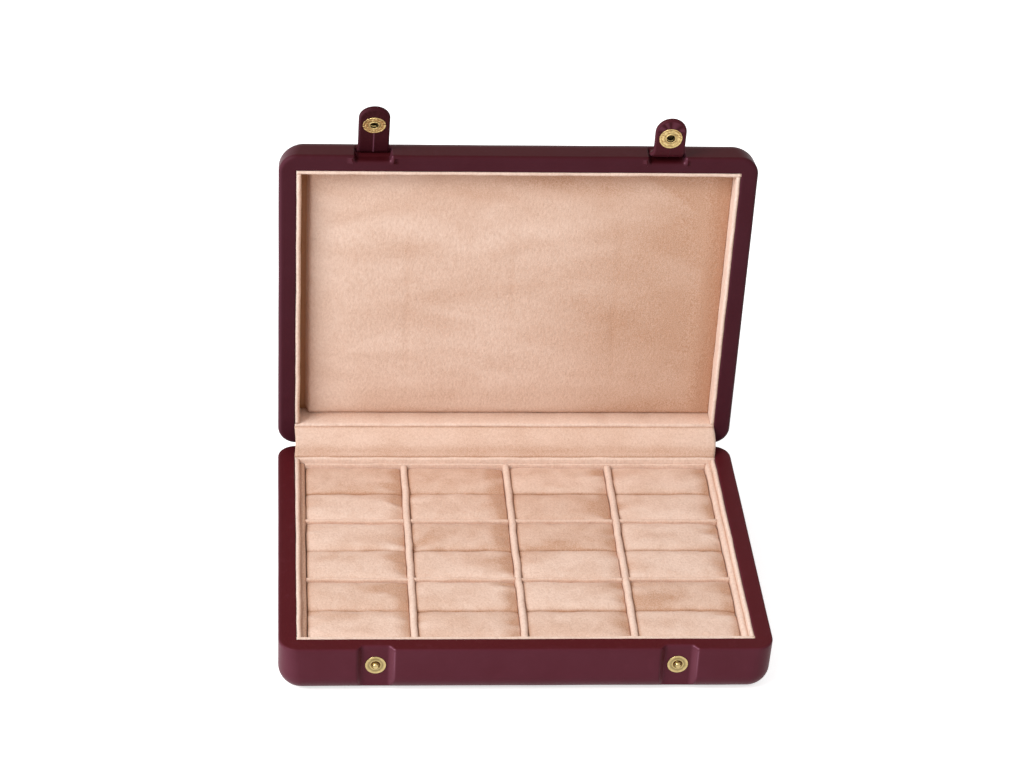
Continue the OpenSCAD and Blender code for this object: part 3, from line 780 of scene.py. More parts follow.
def board_tree():
    """A board that stands along X, with a rounded section, a waving cover and a rough nap."""
    shape = Shape("Suede board", ("Length", "Height", "Thickness", "Wave", "Nap", "Seed"))
    given = shape.given
    half = given["Length"] * 0.5
    ends = {"Start": shape.vector(half * -1.0), "End": shape.vector(half)}
    line = shape.node("GeometryNodeCurvePrimitiveLine", {}, ends)
    path = shape.node("GeometryNodeResampleCurve", {"mode": "LENGTH"}, {"Curve": line, "Length": 0.0011})
    sides = {"Width": given["Thickness"], "Height": given["Height"]}
    section = shape.node("GeometryNodeCurvePrimitiveQuadrilateral", {}, sides)
    rounding = {"Count": 5, "Curve": section, "Radius": given["Thickness"] * 0.47}
    geometry = shape.swept(path, shape.node("GeometryNodeFilletCurve", {"mode": "POLY"}, rounding))
    place = shape.node("GeometryNodeInputPosition", {}, {})
    place = shape.vectors("ADD", place, shape.vector(given["Seed"], given["Seed"] * 0.37))
    for size, share_of, stretch in ((0.014, "Wave", 0.35), (0.0011, "Nap", 1.0)):
        values = {"Vector": shape.vectors("MULTIPLY", place, (1.0, stretch, stretch))}
        values.update({"Scale": 1.0 / size, "Detail": 1.0})
        wavy = shape.node("ShaderNodeTexNoise", {}, values, "Color")
        centred = shape.vectors("SUBTRACT", wavy, (0.5, 0.5, 0.5))
        push = {0: centred, "Scale": given[share_of] * 3.0}
        push = shape.node("ShaderNodeVectorMath", {"operation": "SCALE"}, push)
        geometry = shape.node("GeometryNodeSetPosition", {}, {"Geometry": geometry, "Offset": push})
    return shape.end(geometry)


def board(length, height, thickness, matrix, seed, finish, wave=1.0):
    """Points and faces of one board whose middle is at the origin before the matrix places it."""
    suede = bpy.context.scene.ringbox_suede
    maker = grown("board", bpy.data.node_groups.get("Suede board") or board_tree(), {
        "Length": length, "Height": height, "Thickness": thickness, "Seed": float(seed),
        "Wave": suede.board_wave * wave, "Nap": suede.nap, "Finish": finish,
    })
    mesh = maker.data
    points = turned([v.co for v in mesh.vertices], matrix)
    faces = [tuple(f.vertices) for f in mesh.polygons]
    bpy.data.objects.remove(maker)
    bpy.data.meshes.remove(mesh)
    return points, faces


def joined(parts):
    """One set of points and faces from several."""
    points, faces, start = [], [], 0
    for p, f in parts:
        points.append(p)
        faces += [tuple(i + start for i in face) for face in f]
        start += len(p)
    return np.concatenate(points), faces


def box_board(node_or_box, seed, finish, wave=1.0, body="base"):
    """A board that fills a box, along its longer level side. Its height is the box's size along up."""
    low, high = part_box(node_or_box) if isinstance(node_or_box, str) else node_or_box
    size, middle = high - low, (high + low) / 2
    in_lid = body == "lid"
    height, depth = (size.y, size.z) if in_lid else (size.z, size.y)
    along_x = size.x >= depth
    length, thickness = (size.x, depth) if along_x else (depth, size.x)
    stand = Matrix.Rotation(LID_OPEN, 4, "X") if in_lid else Matrix()
    turn = Matrix() if along_x else Matrix.Rotation(math.pi / 2, 4, "Z")
    return board(length, height, thickness, Matrix.Translation(middle) @ stand @ turn, seed, finish, wave)


class RINGBOX_OT_linings(bpy.types.Operator):
    """Make the suede-covered boards that line the base and the lid"""

    bl_idname = "ringbox.linings"
    bl_label = "Lining boards"

    def execute(self, context):
        finish = material("Lining suede", LINING_SUEDE)
        for i, name in enumerate(("front", "back", "left", "right")):
            for body in ("base", "lid"):
                node = body + "_lining_" + name
                low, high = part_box(node)
                high = high + Vector((0.5 * MM * (name == "left"), 0, 0))
                points, faces = box_board((low, high), i + 1, finish, 1.0, body)
                piece = new_piece(node + "_suede", points, faces, finish)
                place, normal = surface(piece)
                # Painted light and shade: faces that look right, away from the light, and the lid's boards
                # deeper inside it are darkened (brushed, deep); faces that look left, towards the light, the
                # boards' tops and the right-hand boards are lightened (pale).
                inside = np.clip((place[:, 1] - 0.0935) / 0.012, 0, 1) if body == "lid" else 0.0
                paint_on(
                    piece,
                    brushed=0.1 + 0.75 * normal[:, 0] + inside * (0.5, 0.8, 0.9, 0.0)[i],
                    deep=inside * (0.0, 0.1, 0.4, 0.0)[i],
                    pale=(0.3 + 0.4 * (name == "right")) * (1 - inside * (name != "right")) - normal[:, 0],
                )
                settle(piece, body, "lining_suede", node)
        return {"FINISHED"}


class RINGBOX_OT_tray(bpy.types.Operator):
    """Make the tray's frame, floor and dividers"""

    bl_idname = "ringbox.tray"
    bl_label = "Tray"

    def execute(self, context):
        finish = material("Lining suede", LINING_SUEDE)
        low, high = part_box("tray_frame")
        side_t, end_t = 3.1 * MM, 1.4 * MM
        walls = []
        for i, (a, b) in enumerate([
            ((low.x, low.y), (low.x + side_t, high.y)), ((high.x - side_t, low.y), (high.x, high.y)),
            ((low.x + side_t, low.y), (high.x - side_t, low.y + end_t)),
            ((low.x + side_t, high.y - end_t), (high.x - side_t, high.y)),
        ]):
            out = 0.0006 * (i < 2) * (2 * i - 1)
            box = (Vector((a[0] + min(out, 0), a[1], low.z)), Vector((b[0] + max(out, 0), b[1], high.z)))
            walls.append(box_board(box, 11 + i, finish))
        points, faces = joined(walls)
        piece = new_piece("tray_walls", points, faces, finish)
        place, normal = surface(piece)
        # Painted shade and light: the left wall, in the lining's shadow, and faces that look right are
        # darkened; the right wall, which the light falls on, is lightened.
        at_left = place[:, 0] < -0.111
        paint_on(piece, brushed=0.1 + 0.7 * normal[:, 0] + 0.6 * at_left, pale=0.4 * (place[:, 0] > 0.111))
        settle(piece, "base", "lining_suede", "tray_frame")
        low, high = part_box("tray_floor")
        grid, faces = block(60, 40, 2)
        points = np.array(low) + (grid + 1) / 2 * np.array(high - low)
        settle(new_piece("tray_base", points, faces, finish), "base", "lining_suede", "tray_floor")
        for i in range(1, COLUMNS):
            node = f"column_divider_{i}"
            low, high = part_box(node)
            out = Vector((0.25 * MM, 0, 0))
            points, faces = box_board((low - out, high + out), 20 + i, finish, 1.7)
            piece = new_piece(node + "_suede", points, faces, finish)
            place, normal = surface(piece)
            # Painted shade and light: each divider's right-facing side is darkened and its top lightened.
            paint_on(piece, brushed=0.8 * normal[:, 0], pale=0.35 * normal[:, 2])
            settle(piece, "base", "lining_suede", node)
        for i in range(1, COLUMNS + 1):
            node = f"cross_dividers_{i}"
            low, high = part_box(node)
            boards = []
            for j, y in enumerate((low.y + 0.8 * MM, high.y - 0.8 * MM)):
                least = Vector((low.x, y - 1.15 * MM, low.z))
                most = Vector((high.x, y + 1.15 * MM, high.z - 0.7 * MM))
                boards.append(box_board((least, most), 30 + 2 * i + j, finish, 1.2))
            points, faces = joined(boards)
            piece = new_piece(node + "_suede", points, faces, finish)
            place, normal = surface(piece)
            # Painted shade: the faces that look to the front and back, into the narrow gaps beside the pads,
            # are darkened; the even 0.15 is nap.
            paint_on(piece, brushed=0.15 + 0.3 * np.abs(normal[:, 1]))
            settle(piece, "base", "lining_suede", node)
        return {"FINISHED"}


# Pads


def filled(points, faces, pinned, pressure, most):
    """The points after cloth under pressure has settled, none moved by more than most."""
    maker = new_piece("filling", points, faces, material("Pad suede", PAD_SUEDE))
    group = maker.vertex_groups.new(name="held")
    group.add([int(i) for i in pinned], 1.0, "REPLACE")
    cloth = maker.modifiers.new("Cloth", "CLOTH")
    s = cloth.settings
    s.quality = 3
    s.mass = 0.15
    s.tension_stiffness = s.compression_stiffness = 12
    s.shear_stiffness = 6
    s.bending_stiffness = 0.3
    s.use_pressure = True
    s.uniform_pressure_force = pressure
    s.effector_weights.gravity = 0
    s.vertex_group_mass = "held"
    cloth.collision_settings.use_collision = False
    for step in range(1, 21):
        bpy.context.scene.frame_set(step)
    graph = bpy.context.evaluated_depsgraph_get()
    shape = maker.evaluated_get(graph).to_mesh()
    moved = np.array([v.co for v in shape.vertices]) - points
    maker.evaluated_get(graph).to_mesh_clear()
    bpy.data.objects.remove(maker)
    bpy.context.scene.frame_set(1)
    far = np.linalg.norm(moved, axis=1)
    return points + moved * (np.minimum(far, most) / np.maximum(far, 1e-9))[:, None]


def pad_shape(low, high, seed, half_of_cell):
    """Points, faces and paint of one ring pad in its box.

    half_of_cell is 1 for the back pad of a cell and -1 for the front one.
    """
    suede = bpy.context.scene.ringbox_suede
    pick = np.random.default_rng(suede.seed * 100 + seed)
    grid, faces = block(48, 26, 8)
    u = np.sin(grid[:, 0] * 1.35) / math.sin(1.35)
    v = np.sin(grid[:, 1] * 1.35) / math.sin(1.35)
    t = (grid[:, 2] + 1) / 2
    middle, half = (high + low) / 2, (high - low) / 2
    a, b, h = half.x, half.y, high.z - low.z - 0.0002
    x, y = a * u, b * v
    slit = np.clip(-half_of_cell * v, 0, 1) ** 3
    along = np.stack([x + middle.x, 0 * x, 0 * x], 1)
    cell = seed // (2 * COLUMNS)
    y += 0.00035 * slit * ripple(along, 0.016, 20 + cell)
    skew = pick.uniform(-0.12, 0.12)
    crown = suede.pad_crown * pick.uniform(0.8, 1.2)
    across = np.abs(v - skew * (1 - v * v)) ** 3.0
    ends = np.abs(u) ** 8 * pick.uniform(0.7, 1.2) + np.clip(u, 0, 1) ** 4 * pick.uniform(0.3, 0.9)
    top = h - crown * across - suede.pad_end * ends
    round_y = 0.0006 + 0.0002 * ripple(along, 0.02, seed)
    round_x = 0.0007
    edge_x = np.clip(1 - a * (1 - np.abs(u)) / round_x, 0, 1)
    edge_y = np.clip(1 - b * (1 - np.abs(v)) / round_y, 0, 1)
    top -= round_x * (1 - np.sqrt(1 - edge_x**2)) + round_y * (1 - np.sqrt(1 - edge_y**2))
    level = np.stack([x, y, 0 * x + 0.01 * seed], 1)
    top += 0.00030 * ripple(level, 0.012, seed)
    brushed = np.full(len(x), 0.4 * pick.uniform() ** 2.5)
    # Darker right ends: partly nap that lies over, partly painted shade where each pad falls away from the
    # light.
    brushed += pick.uniform(0.3, 0.85) * np.clip((u - pick.uniform(0.5, 0.72)) / 0.35, 0, 1) ** 1.5
    # Painted shade beside the slits between the pads and at their left ends, next to the dividers.
    brushed += 0.2 * slit**2 + 0.35 * slit**7 + 0.3 * bell((1 + u) * a / 0.0013)
    for _ in range(3):
        end = 1 if pick.random() < 0.8 else -1
        y0 = pick.uniform(-0.9, 0.9) * b
        slope = pick.uniform(-0.4, 0.4)
        reach = pick.uniform(0.008, 0.018)
        wide = pick.uniform(0.0016, 0.0028)
        from_end = a - end * x
        line = y - (y0 + slope * from_end)
        fade = bell(from_end / reach)
        top -= suede.pad_fold * pick.uniform(0.5, 1.2) * fade * bell(line / wide)
        top += suede.pad_fold * 0.5 * fade * bell((line + 1.8 * wide) / wide)
        # Painted shade and light beside each of its folds: darker on one side, lighter on the other.
        brushed += pick.uniform(0.2, 0.55) * fade * bell((line - wide) / (2.0 * wide))
        brushed -= 0.2 * fade * bell((line + 2.0 * wide) / (1.6 * wide))
    for _ in range(2):
        cx, cy = pick.uniform(-0.7, 0.9) * a, pick.uniform(-1, 0.8) * b
        spot = bell((x - cx) / pick.uniform(0.008, 0.016)) * bell((y - cy) / pick.uniform(0.003, 0.006))
        brushed += pick.uniform(-0.1, 0.3) * spot
    lay = ripple(np.stack([x, y, t * 0], 1), 0.007, seed + 40) * 0.5 + 0.5
    z = t * top
    z += (t > 0.99) * 0.00005 * ripple(np.stack([x, y, 0 * x], 1), 0.0014, seed + 60)
    points = np.stack([x + middle.x, y + middle.y, z + low.z], 1)
    brushed = np.clip(brushed * (0.8 + 0.9 * lay), 0, 1)
    # Painted shade in the crevices at the left ends, in the slits and on the darkened right ends.
    deep = 0.45 * bell((1 + u) * a / 0.0009) + 0.4 * slit**10
    deep += 0.25 * np.clip((u - 0.7) / 0.3, 0, 1) * brushed
    return points, faces, {"brushed": brushed, "deep": np.clip(deep, 0, 1)}


class RINGBOX_OT_pads(bpy.types.Operator):
    """Make the ring pads, each a roll of foam under suede"""

    bl_idname = "ringbox.pads"
    bl_label = "Ring pads"

    def execute(self, context):
        finish = material("Pad suede", PAD_SUEDE)
        suede = context.scene.ringbox_suede
        names = [f"ring_pad_{r}_{c}" for r in range(1, PAD_ROWS + 1) for c in range(1, COLUMNS + 1)]
        shapes = [pad_shape(*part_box(name), i, 1 - 2 * (i // COLUMNS % 2)) for i, name in enumerate(names)]
        points, faces = joined([(p, f) for p, f, _ in shapes])
        floor = np.array([p[:, 2].min() for p, _, _ in shapes]).min()
        pinned = np.flatnonzero(points[:, 2] < floor + 0.004)
        points = filled(points, faces, pinned, suede.pad_pressure, 0.0004)
        start = 0
        for name, (p, f, paint) in zip(names, shapes):
            least, most = (np.array(corner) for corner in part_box(name))
            least[1] -= 0.0004
            most[1] += 0.0004
            own = np.clip(points[start:start + len(p)], least, most)
            start += len(p)
            piece = new_piece(name + "_suede", own, f, finish, attributes=paint)
            settle(piece, "base", "pad_suede", name)
        return {"FINISHED"}


class RINGBOX_OT_panel(bpy.types.Operator):
    """Make the padded panel inside the lid"""

    bl_idname = "ringbox.panel"
    bl_label = "Lid panel"

    def execute(self, context):
        suede = context.scene.ringbox_suede
        finish = material("Panel suede", PANEL_SUEDE)
        low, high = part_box("lid_pad")
        spread = Vector((0.3 * MM, 0, 0.3 * MM))
        low, high = low - spread, high + spread
        half_x, half_z = (high.x - low.x) / 2, (high.z - low.z) / 2
        mid_z = (high.z + low.z) / 2
        grid, faces = block(152, 104, 2)
        u, v = grid[:, 0], grid[:, 1]
        u = np.sin(u * 1.25) / math.sin(1.25)
        v = np.sin(v * 1.25) / math.sin(1.25)
        t = (grid[:, 2] + 1) / 2
        x, z = u * half_x, v * half_z
        groove = half_x + x - suede.panel_gap
        roll, fall = np.clip(groove / 0.0022, 0, 1), np.clip((half_z + z) / 0.0016, 0, 1)
        top = np.maximum((suede.panel_edge - 0.0009 * (1 - fall) ** 2) * np.sqrt(1 - (1 - roll) ** 2), 0.0012)
        top += suede.panel_crown * (1 - u**4) * (1 - v**4)
        level = np.stack([x, z, 0 * x], 1)
        top += 0.00016 * ripple(level, 0.030, 3) + 0.00007 * ripple(level, 0.009, 5)
        creases = 0 * x
        for place in (-0.0557, 0.0, 0.0568):
            waver = 0.0012 * ripple(np.stack([0 * x + place, z, 0 * x], 1), 0.03, 9)
            strength = 0.6 + 0.5 * ripple(np.stack([0 * x + place, z, 0 * x], 1), 0.04, 11)
            strength *= bell((z + 0.012) / 0.05)
            top -= 0.0006 * strength * bell((x - place - waver) / 0.0014)
            creases += strength * bell((x - place - waver) / 0.0014)
        y = high.y - t * top
        points = np.stack([x + (low.x + high.x) / 2, y, z + mid_z], 1)
        flat = filled(points, faces, np.flatnonzero(t < 0.99), 1.2, 0.0008)
        flat[:, 1] = np.clip(flat[:, 1], low.y - 0.0038, high.y)
        flat[:, 0] = np.clip(flat[:, 0], low.x, high.x)
        flat[:, 2] = np.clip(flat[:, 2], low.z, high.z)
        # Painted shade: the panel is darkened towards its right, away from the light, in its creases, along
        # its right edge, under the top wall and along its bottom; the two ripples are nap that lies over at
        # random.
        brushed = 0.27 + 0.24 * u + 0.62 * np.clip(u - 0.2, 0, 1) + 0.22 * creases
        brushed += 0.22 * ripple(level, 0.03, 21, (0.5, 1.0, 1.0))
        brushed += 0.14 * ripple(level, 0.011, 22, (0.4, 1.0, 1.0))
        brushed += 0.3 * np.clip((x - half_x + 0.013 + 0.1 * np.clip(v - 0.6, 0, 1)) / 0.005, 0, 1)
        brushed += (0.38 + 0.15 * u) * bell((half_z - z) / 0.012) + 0.2 * bell((half_z + z) / 0.006)
        # Painted shade in the groove at the left, along the bottom and towards the right.
        deep = 0.9 * np.clip(-groove / 0.0006 + 0.6, 0, 1) + 0.4 * bell((half_z + z) / 0.0016)
        deep = np.maximum(deep, 0.25 * np.clip((x - half_x + 0.012) / 0.006, 0, 1))
        piece = new_piece("lid_panel", flat, faces, finish)
        paint_on(piece, brushed=brushed, deep=deep)
        settle(piece, "lid", "lining_suede", "lid_pad")
        return {"FINISHED"}


# Hinge


class RINGBOX_OT_hinge(bpy.types.Operator):
    """Make the suede gusset inside the hinge and the leather spine outside it"""

    bl_idname = "ringbox.hinge"
    bl_label = "Hinge"

    def execute(self, context):
        self.gusset()
        self.spine()
        return {"FINISHED"}

    def gusset(self):
        low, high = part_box("hinge_gusset")
        finish = material("Gusset suede", GUSSET_SUEDE)
        grid, faces = block(150, 18, 1)
        t = (grid[:, 1] + 1) / 2
        start = np.array((low.y - 0.0006, RIM_Z - 0.0003))
        end = np.array((HINGE.y + HINGE.z - RIM_Z + 0.0003, high.z + 0.0006))
        way = end - start
        out = np.array((-way[1], way[0])) / np.linalg.norm(way)
        swell = np.sin(math.pi * t)
        x = grid[:, 0] * high.x
        x += np.abs(grid[:, 0]) ** 6 * (0.0006 * swell - 0.0002 * (grid[:, 0] < 0))
        level = np.stack([x, t * 0.016, 0 * x], 1)
        bow = 0.0011 * swell**0.8 + 0.00030 * ripple(level, 0.02, 2, (0.4, 1.0, 1.0)) * swell
        bow += 0.00022 * bell((t - 0.36) / 0.07) - 0.0003 * bell((t - 0.14) / 0.06)
        thick = 0.0008 / 2 * grid[:, 2] * (0.6 + 0.4 * swell)
        line = start + t[:, None] * way + (bow + thick)[:, None] * out
        points = np.stack([x, line[:, 0], line[:, 1]], 1)
        # Painted shade: darker on its lower part and in the creases at both ends (brushed, deep); the ripple
        # is nap that lies over at random.
        brushed = 0.40 * bell((t - 0.18) / 0.2) + 0.18 + 0.14 * ripple(level, 0.014, 8)
        brushed = np.clip(brushed + 0.35 * bell(t / 0.05) + 0.35 * bell((1 - t) / 0.05), 0, 1)
        deep = 0.4 * bell(t / 0.03) + 0.4 * bell((1 - t) / 0.03)
        piece = new_piece("gusset", points, faces, finish, attributes={"brushed": brushed, "deep": deep})
        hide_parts("hinge_gusset")
        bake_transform(piece)

    def spine(self):
        finish = material("Oxblood leather of the base", leather_finish(BASE_TONE))
        low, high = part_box("hinge_spine")
        thick = 0.001
        inner = np.array((low.y + thick / 2, high.z - thick / 2))
        mid = [(inner[0], z) for z in np.linspace(low.z, inner[1] - 0.0006, 8)]
        mid += [(inner[0] + 0.0006 * (1 - math.cos(a)), inner[1] - 0.0006 * (1 - math.sin(a)))
                for a in np.radians(np.linspace(15, 75, 5))]
        mid += [(y, inner[1]) for y in np.linspace(inner[0] + 0.0006, high.y, 8)]
        mid = np.array(mid)
        way = np.gradient(mid, axis=0)
        way /= np.linalg.norm(way, axis=1)[:, None]
        outwards = np.stack([way[:, 1], -way[:, 0]], 1)
        grid, faces = block(110, len(mid) - 1, 1)
        row = np.round((grid[:, 1] + 1) / 2 * (len(mid) - 1)).astype(int)
        x = grid[:, 0] * high.x
        reach = np.minimum(high.x - np.abs(x), 0.002) / 0.002
        ends = np.minimum(np.minimum(row, len(mid) - 1 - row), 2) / 2
        thin = 0.25 + 0.75 * np.minimum(reach, ends) ** 0.5
        wave = 0.00006 * ripple(np.stack([x, row * 0.001, 0 * x], 1), 0.02, 6)
        offset = np.where(grid[:, 2] > 0, thick * (thin - 0.5) + wave, -thick / 2)
        points = np.concatenate([x[:, None], mid[row] + offset[:, None] * outwards[row]], 1)
        piece = new_piece("spine", points, faces, finish, 1e-9)
        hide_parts("hinge_spine")
        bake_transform(piece)


# Straps


def strap_shape(side):
    """Points, faces, pleat folds with their painted shade, and painted highlights of a strap's leather, in
    the frame of the hanging strap.
    """
    s = bpy.context.scene.ringbox_strap
    half, t = s.width / 2, s.thickness / 2
    tip = getattr(s, side + "_tip")
    lean, bend = STRAP_LEAN[side], strap_bend(side)
    tangent = max(bend, s.least_bend)
    radius = tangent / math.tan(lean / 2)
    run = radius * lean - tangent + s.reach - bend + tip - half
    edge = 0.0012
    stations = np.unique(np.concatenate([
        np.linspace(-0.0008, 0, 3), np.linspace(0, radius * lean, 22), np.linspace(radius * lean, run, 22)]))
    outline = [(-half, z, 1.0, 0.0) for z in stations[:-1]]
    for a in np.radians(np.linspace(180, 360, 49)):
        outline.append((half * math.cos(a), run - half * math.sin(a), -math.cos(a), math.sin(a)))
    outline += [(half, z, -1.0, 0.0) for z in stations[::-1][1:]]
    o = np.array(outline)
    section = [(half, -t), (half * 0.75, -t), (half * 0.5, -t), (half * 0.3, -t)]
    rounding = np.radians(np.linspace(0, 90, 7))
    section += [(edge * (1 - math.cos(a)), -t + edge - edge * math.sin(a)) for a in rounding[::-1]]
    section += [(edge * (1 - math.cos(a)), t - edge + edge * math.sin(a)) for a in rounding]
    shares = (0.2, 0.27, 0.35, 0.45, 0.55, 0.65, 0.75, 0.85, 0.91, 0.94, 0.965, 0.985, 1.0)
    section += [(half * share_in, t) for share_in in shares]
    rows, folds, worn = [], [], []
    at_tip = np.abs(o[:, 3]) > 1e-9
    turn = np.arctan2(o[:, 3], -o[:, 2])
    pleats = 0.5 + 0.5 * np.cos(turn * (13 if side == "left" else 8) + 1.1 * np.sin(turn * 3))
    depth = 0.5 if side == "left" else 1.0
    for e, y in section:
        x, z = o[:, 0] + e * o[:, 2], o[:, 1] + e * o[:, 3]
        y_row, fold, light = np.full(len(o), y), np.zeros(len(o)), np.zeros(len(o))
        if y >= t - 1e-9:
            seam = bell((1 - e / half) / 0.035) * np.clip(z / 0.002, 0, 1)
            seam *= z < run + half - tip - s.socket_r
            y_row += s.seam * seam * ~at_tip
            # Pleats around the tip, deepened and darkened with painted shade.
            fold = at_tip * depth * pleats**2 * bell((e / half - 0.35) / 0.30)
            y_row += at_tip * 0.0001 * bell((e / half - 0.12) / 0.12) - 0.0003 * fold
            # Painted highlight: a light line down the left strap's seam, light lobes between the right
            # strap's pleats, and a light band along the left edge of both straps' faces.
            light = 0.4 * seam * ~at_tip if side == "left" else 0.15 * at_tip * (1 - pleats)
        light += 0.16 * bell((e / half - 0.05) / 0.07) * np.clip((x + 0.002) / -half, 0, 1) * (y > 0)
        rows.append(np.stack([x, y_row, z], 1))
        folds.append(fold)
        worn.append(light)
    points, folds, worn = (np.concatenate(part) for part in (rows, folds, worn))
    count = len(o)
    points += 0.00006 * np.stack([ripple(points, 0.006, 30 + SIDES[side] * 3 + k) for k in range(3)], 1)
    flare = np.clip(1 - points[:, 2] / 0.005, 0, 1) ** 2
    points[:, 0] *= 1 + 0.07 * flare
    if side == "right":
        to_left = np.clip(-points[:, 0] / half, 0, 1) ** 3
        points[:, 0] -= 0.0015 * bell((points[:, 2] - 0.0066) / 0.002) * to_left
    faces = grid_faces(len(rows), count, False)
    ends = [r * count for r in range(len(rows))] + [r * count + count - 1 for r in reversed(range(len(rows)))]
    faces.append(tuple(ends))
    return bent(points, lean, tangent, radius), faces, {"fold": 0.5 * folds, "worn": worn}


def bent(points, lean, tangent, radius):
    """Lays straight strap points, measured along +Z from the root, on the path of the bent strap."""
    x, y, along = points.T
    turn = np.clip(along / radius, 0, lean)
    past = np.clip(along - radius * lean, 0, None) + np.clip(along, None, 0)
    left = lean - turn
    ways = np.stack([np.sin(left), -np.cos(left)], 1)
    out = np.stack([np.cos(left), np.sin(left)], 1)
    start = -tangent * np.array((math.sin(lean), -math.cos(lean)))
    centre = start - radius * np.array((math.cos(lean), math.sin(lean)))
    path = centre + radius * out + past[:, None] * ways
    return np.concatenate([x[:, None], path + y[:, None] * out], 1)


def pierce(piece, radius, matrix):
    """Cuts a round hole of that radius in mm through a piece, along the Z of a matrix."""
    points, faces, _ = lathe([(1e-3, -4), (radius, -4), (radius, 1), (1e-3, 1)], 64, matrix)
    drill = new_piece("drill", points, faces, piece.data.materials[0], 5e-6)
    cut = piece.modifiers.new("Hole", "BOOLEAN")
    cut.operation, cut.solver, cut.object = "DIFFERENCE", "EXACT", drill
    bpy.context.view_layer.update()
    plain_mesh(piece, piece.name)
    bpy.data.objects.remove(drill)


class RINGBOX_OT_straps(bpy.types.Operator):
    """Make the leather straps, each with its bend"""

    bl_idname = "ringbox.straps"
    bl_label = "Straps"

    def execute(self, context):
        for side in SIDES:
            finish = material(f"Leather of the {side} strap", leather_finish(STRAP_PAINTED_LIGHT[side]))
            points, faces, marks = strap_shape(side)
            node = "strap_" + side
            place = strap_place(side)
            piece = new_piece(node + "_leather", turned(points, place), faces, finish, 2e-6, marks)
            pierce(piece, LEATHER_HOLE_R, snap_place(side))
            # Painted reflection: faces that look to the front take the floor reflection's colour, a little
            # more on the right strap.
            paint_on(piece, front=(0.0 if side == "left" else 0.15) - 0.6 * surface(piece)[1][:, 1])
            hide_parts(node)
            lean = STRAP_LEAN[side]
            tangent = max(strap_bend(side), context.scene.ringbox_strap.least_bend)
            root = place @ Vector((0, -tangent * math.sin(lean), tangent * math.cos(lean)))
            tuple(place @ Vector((0, 0, -tangent - 0.001)))
            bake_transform(piece)
        self.anchors(finish)
        return {"FINISHED"}

    def anchors(self, finish):
        """The ends of the straps, glued into the wall of the lid."""
        s = bpy.context.scene.ringbox_strap
        grid, faces = block(12, 4, 6)
        floor = HINGE.z + HINGE.y - FRONT_Y - bpy.context.scene.ringbox_leather.lid_recess
        parts = []
        for side in SIDES:
            root = JOINTS[f"strap_{side}_bend"]["pos_m"][1] + strap_bend(side)
            size = np.array((s.width / 2 - 0.0005, s.thickness / 2 - 0.0004, 0.002))
            parts.append((grid * size + np.array((STRAP_X[side], root, floor - size[2])), faces))
        points, faces = joined(parts)
        settle(new_piece("anchors", points, faces, finish), "lid", "oxblood_leather", "strap_anchors")


# Snaps


def spring_tree():
    """A ring of wire that is open on one side."""
    shape = Shape("Snap spring", ("Radius", "Wire", "Turn"))
    turn = {"Resolution": 48, "Radius": shape.given["Radius"], "Sweep Angle": shape.given["Turn"]}
    path = shape.node("GeometryNodeCurveArc", {}, turn)
    section = {"Resolution": 12, "Radius": shape.given["Wire"]}
    wire = shape.node("GeometryNodeCurvePrimitiveCircle", {}, section)
    return shape.end(shape.swept(path, wire))


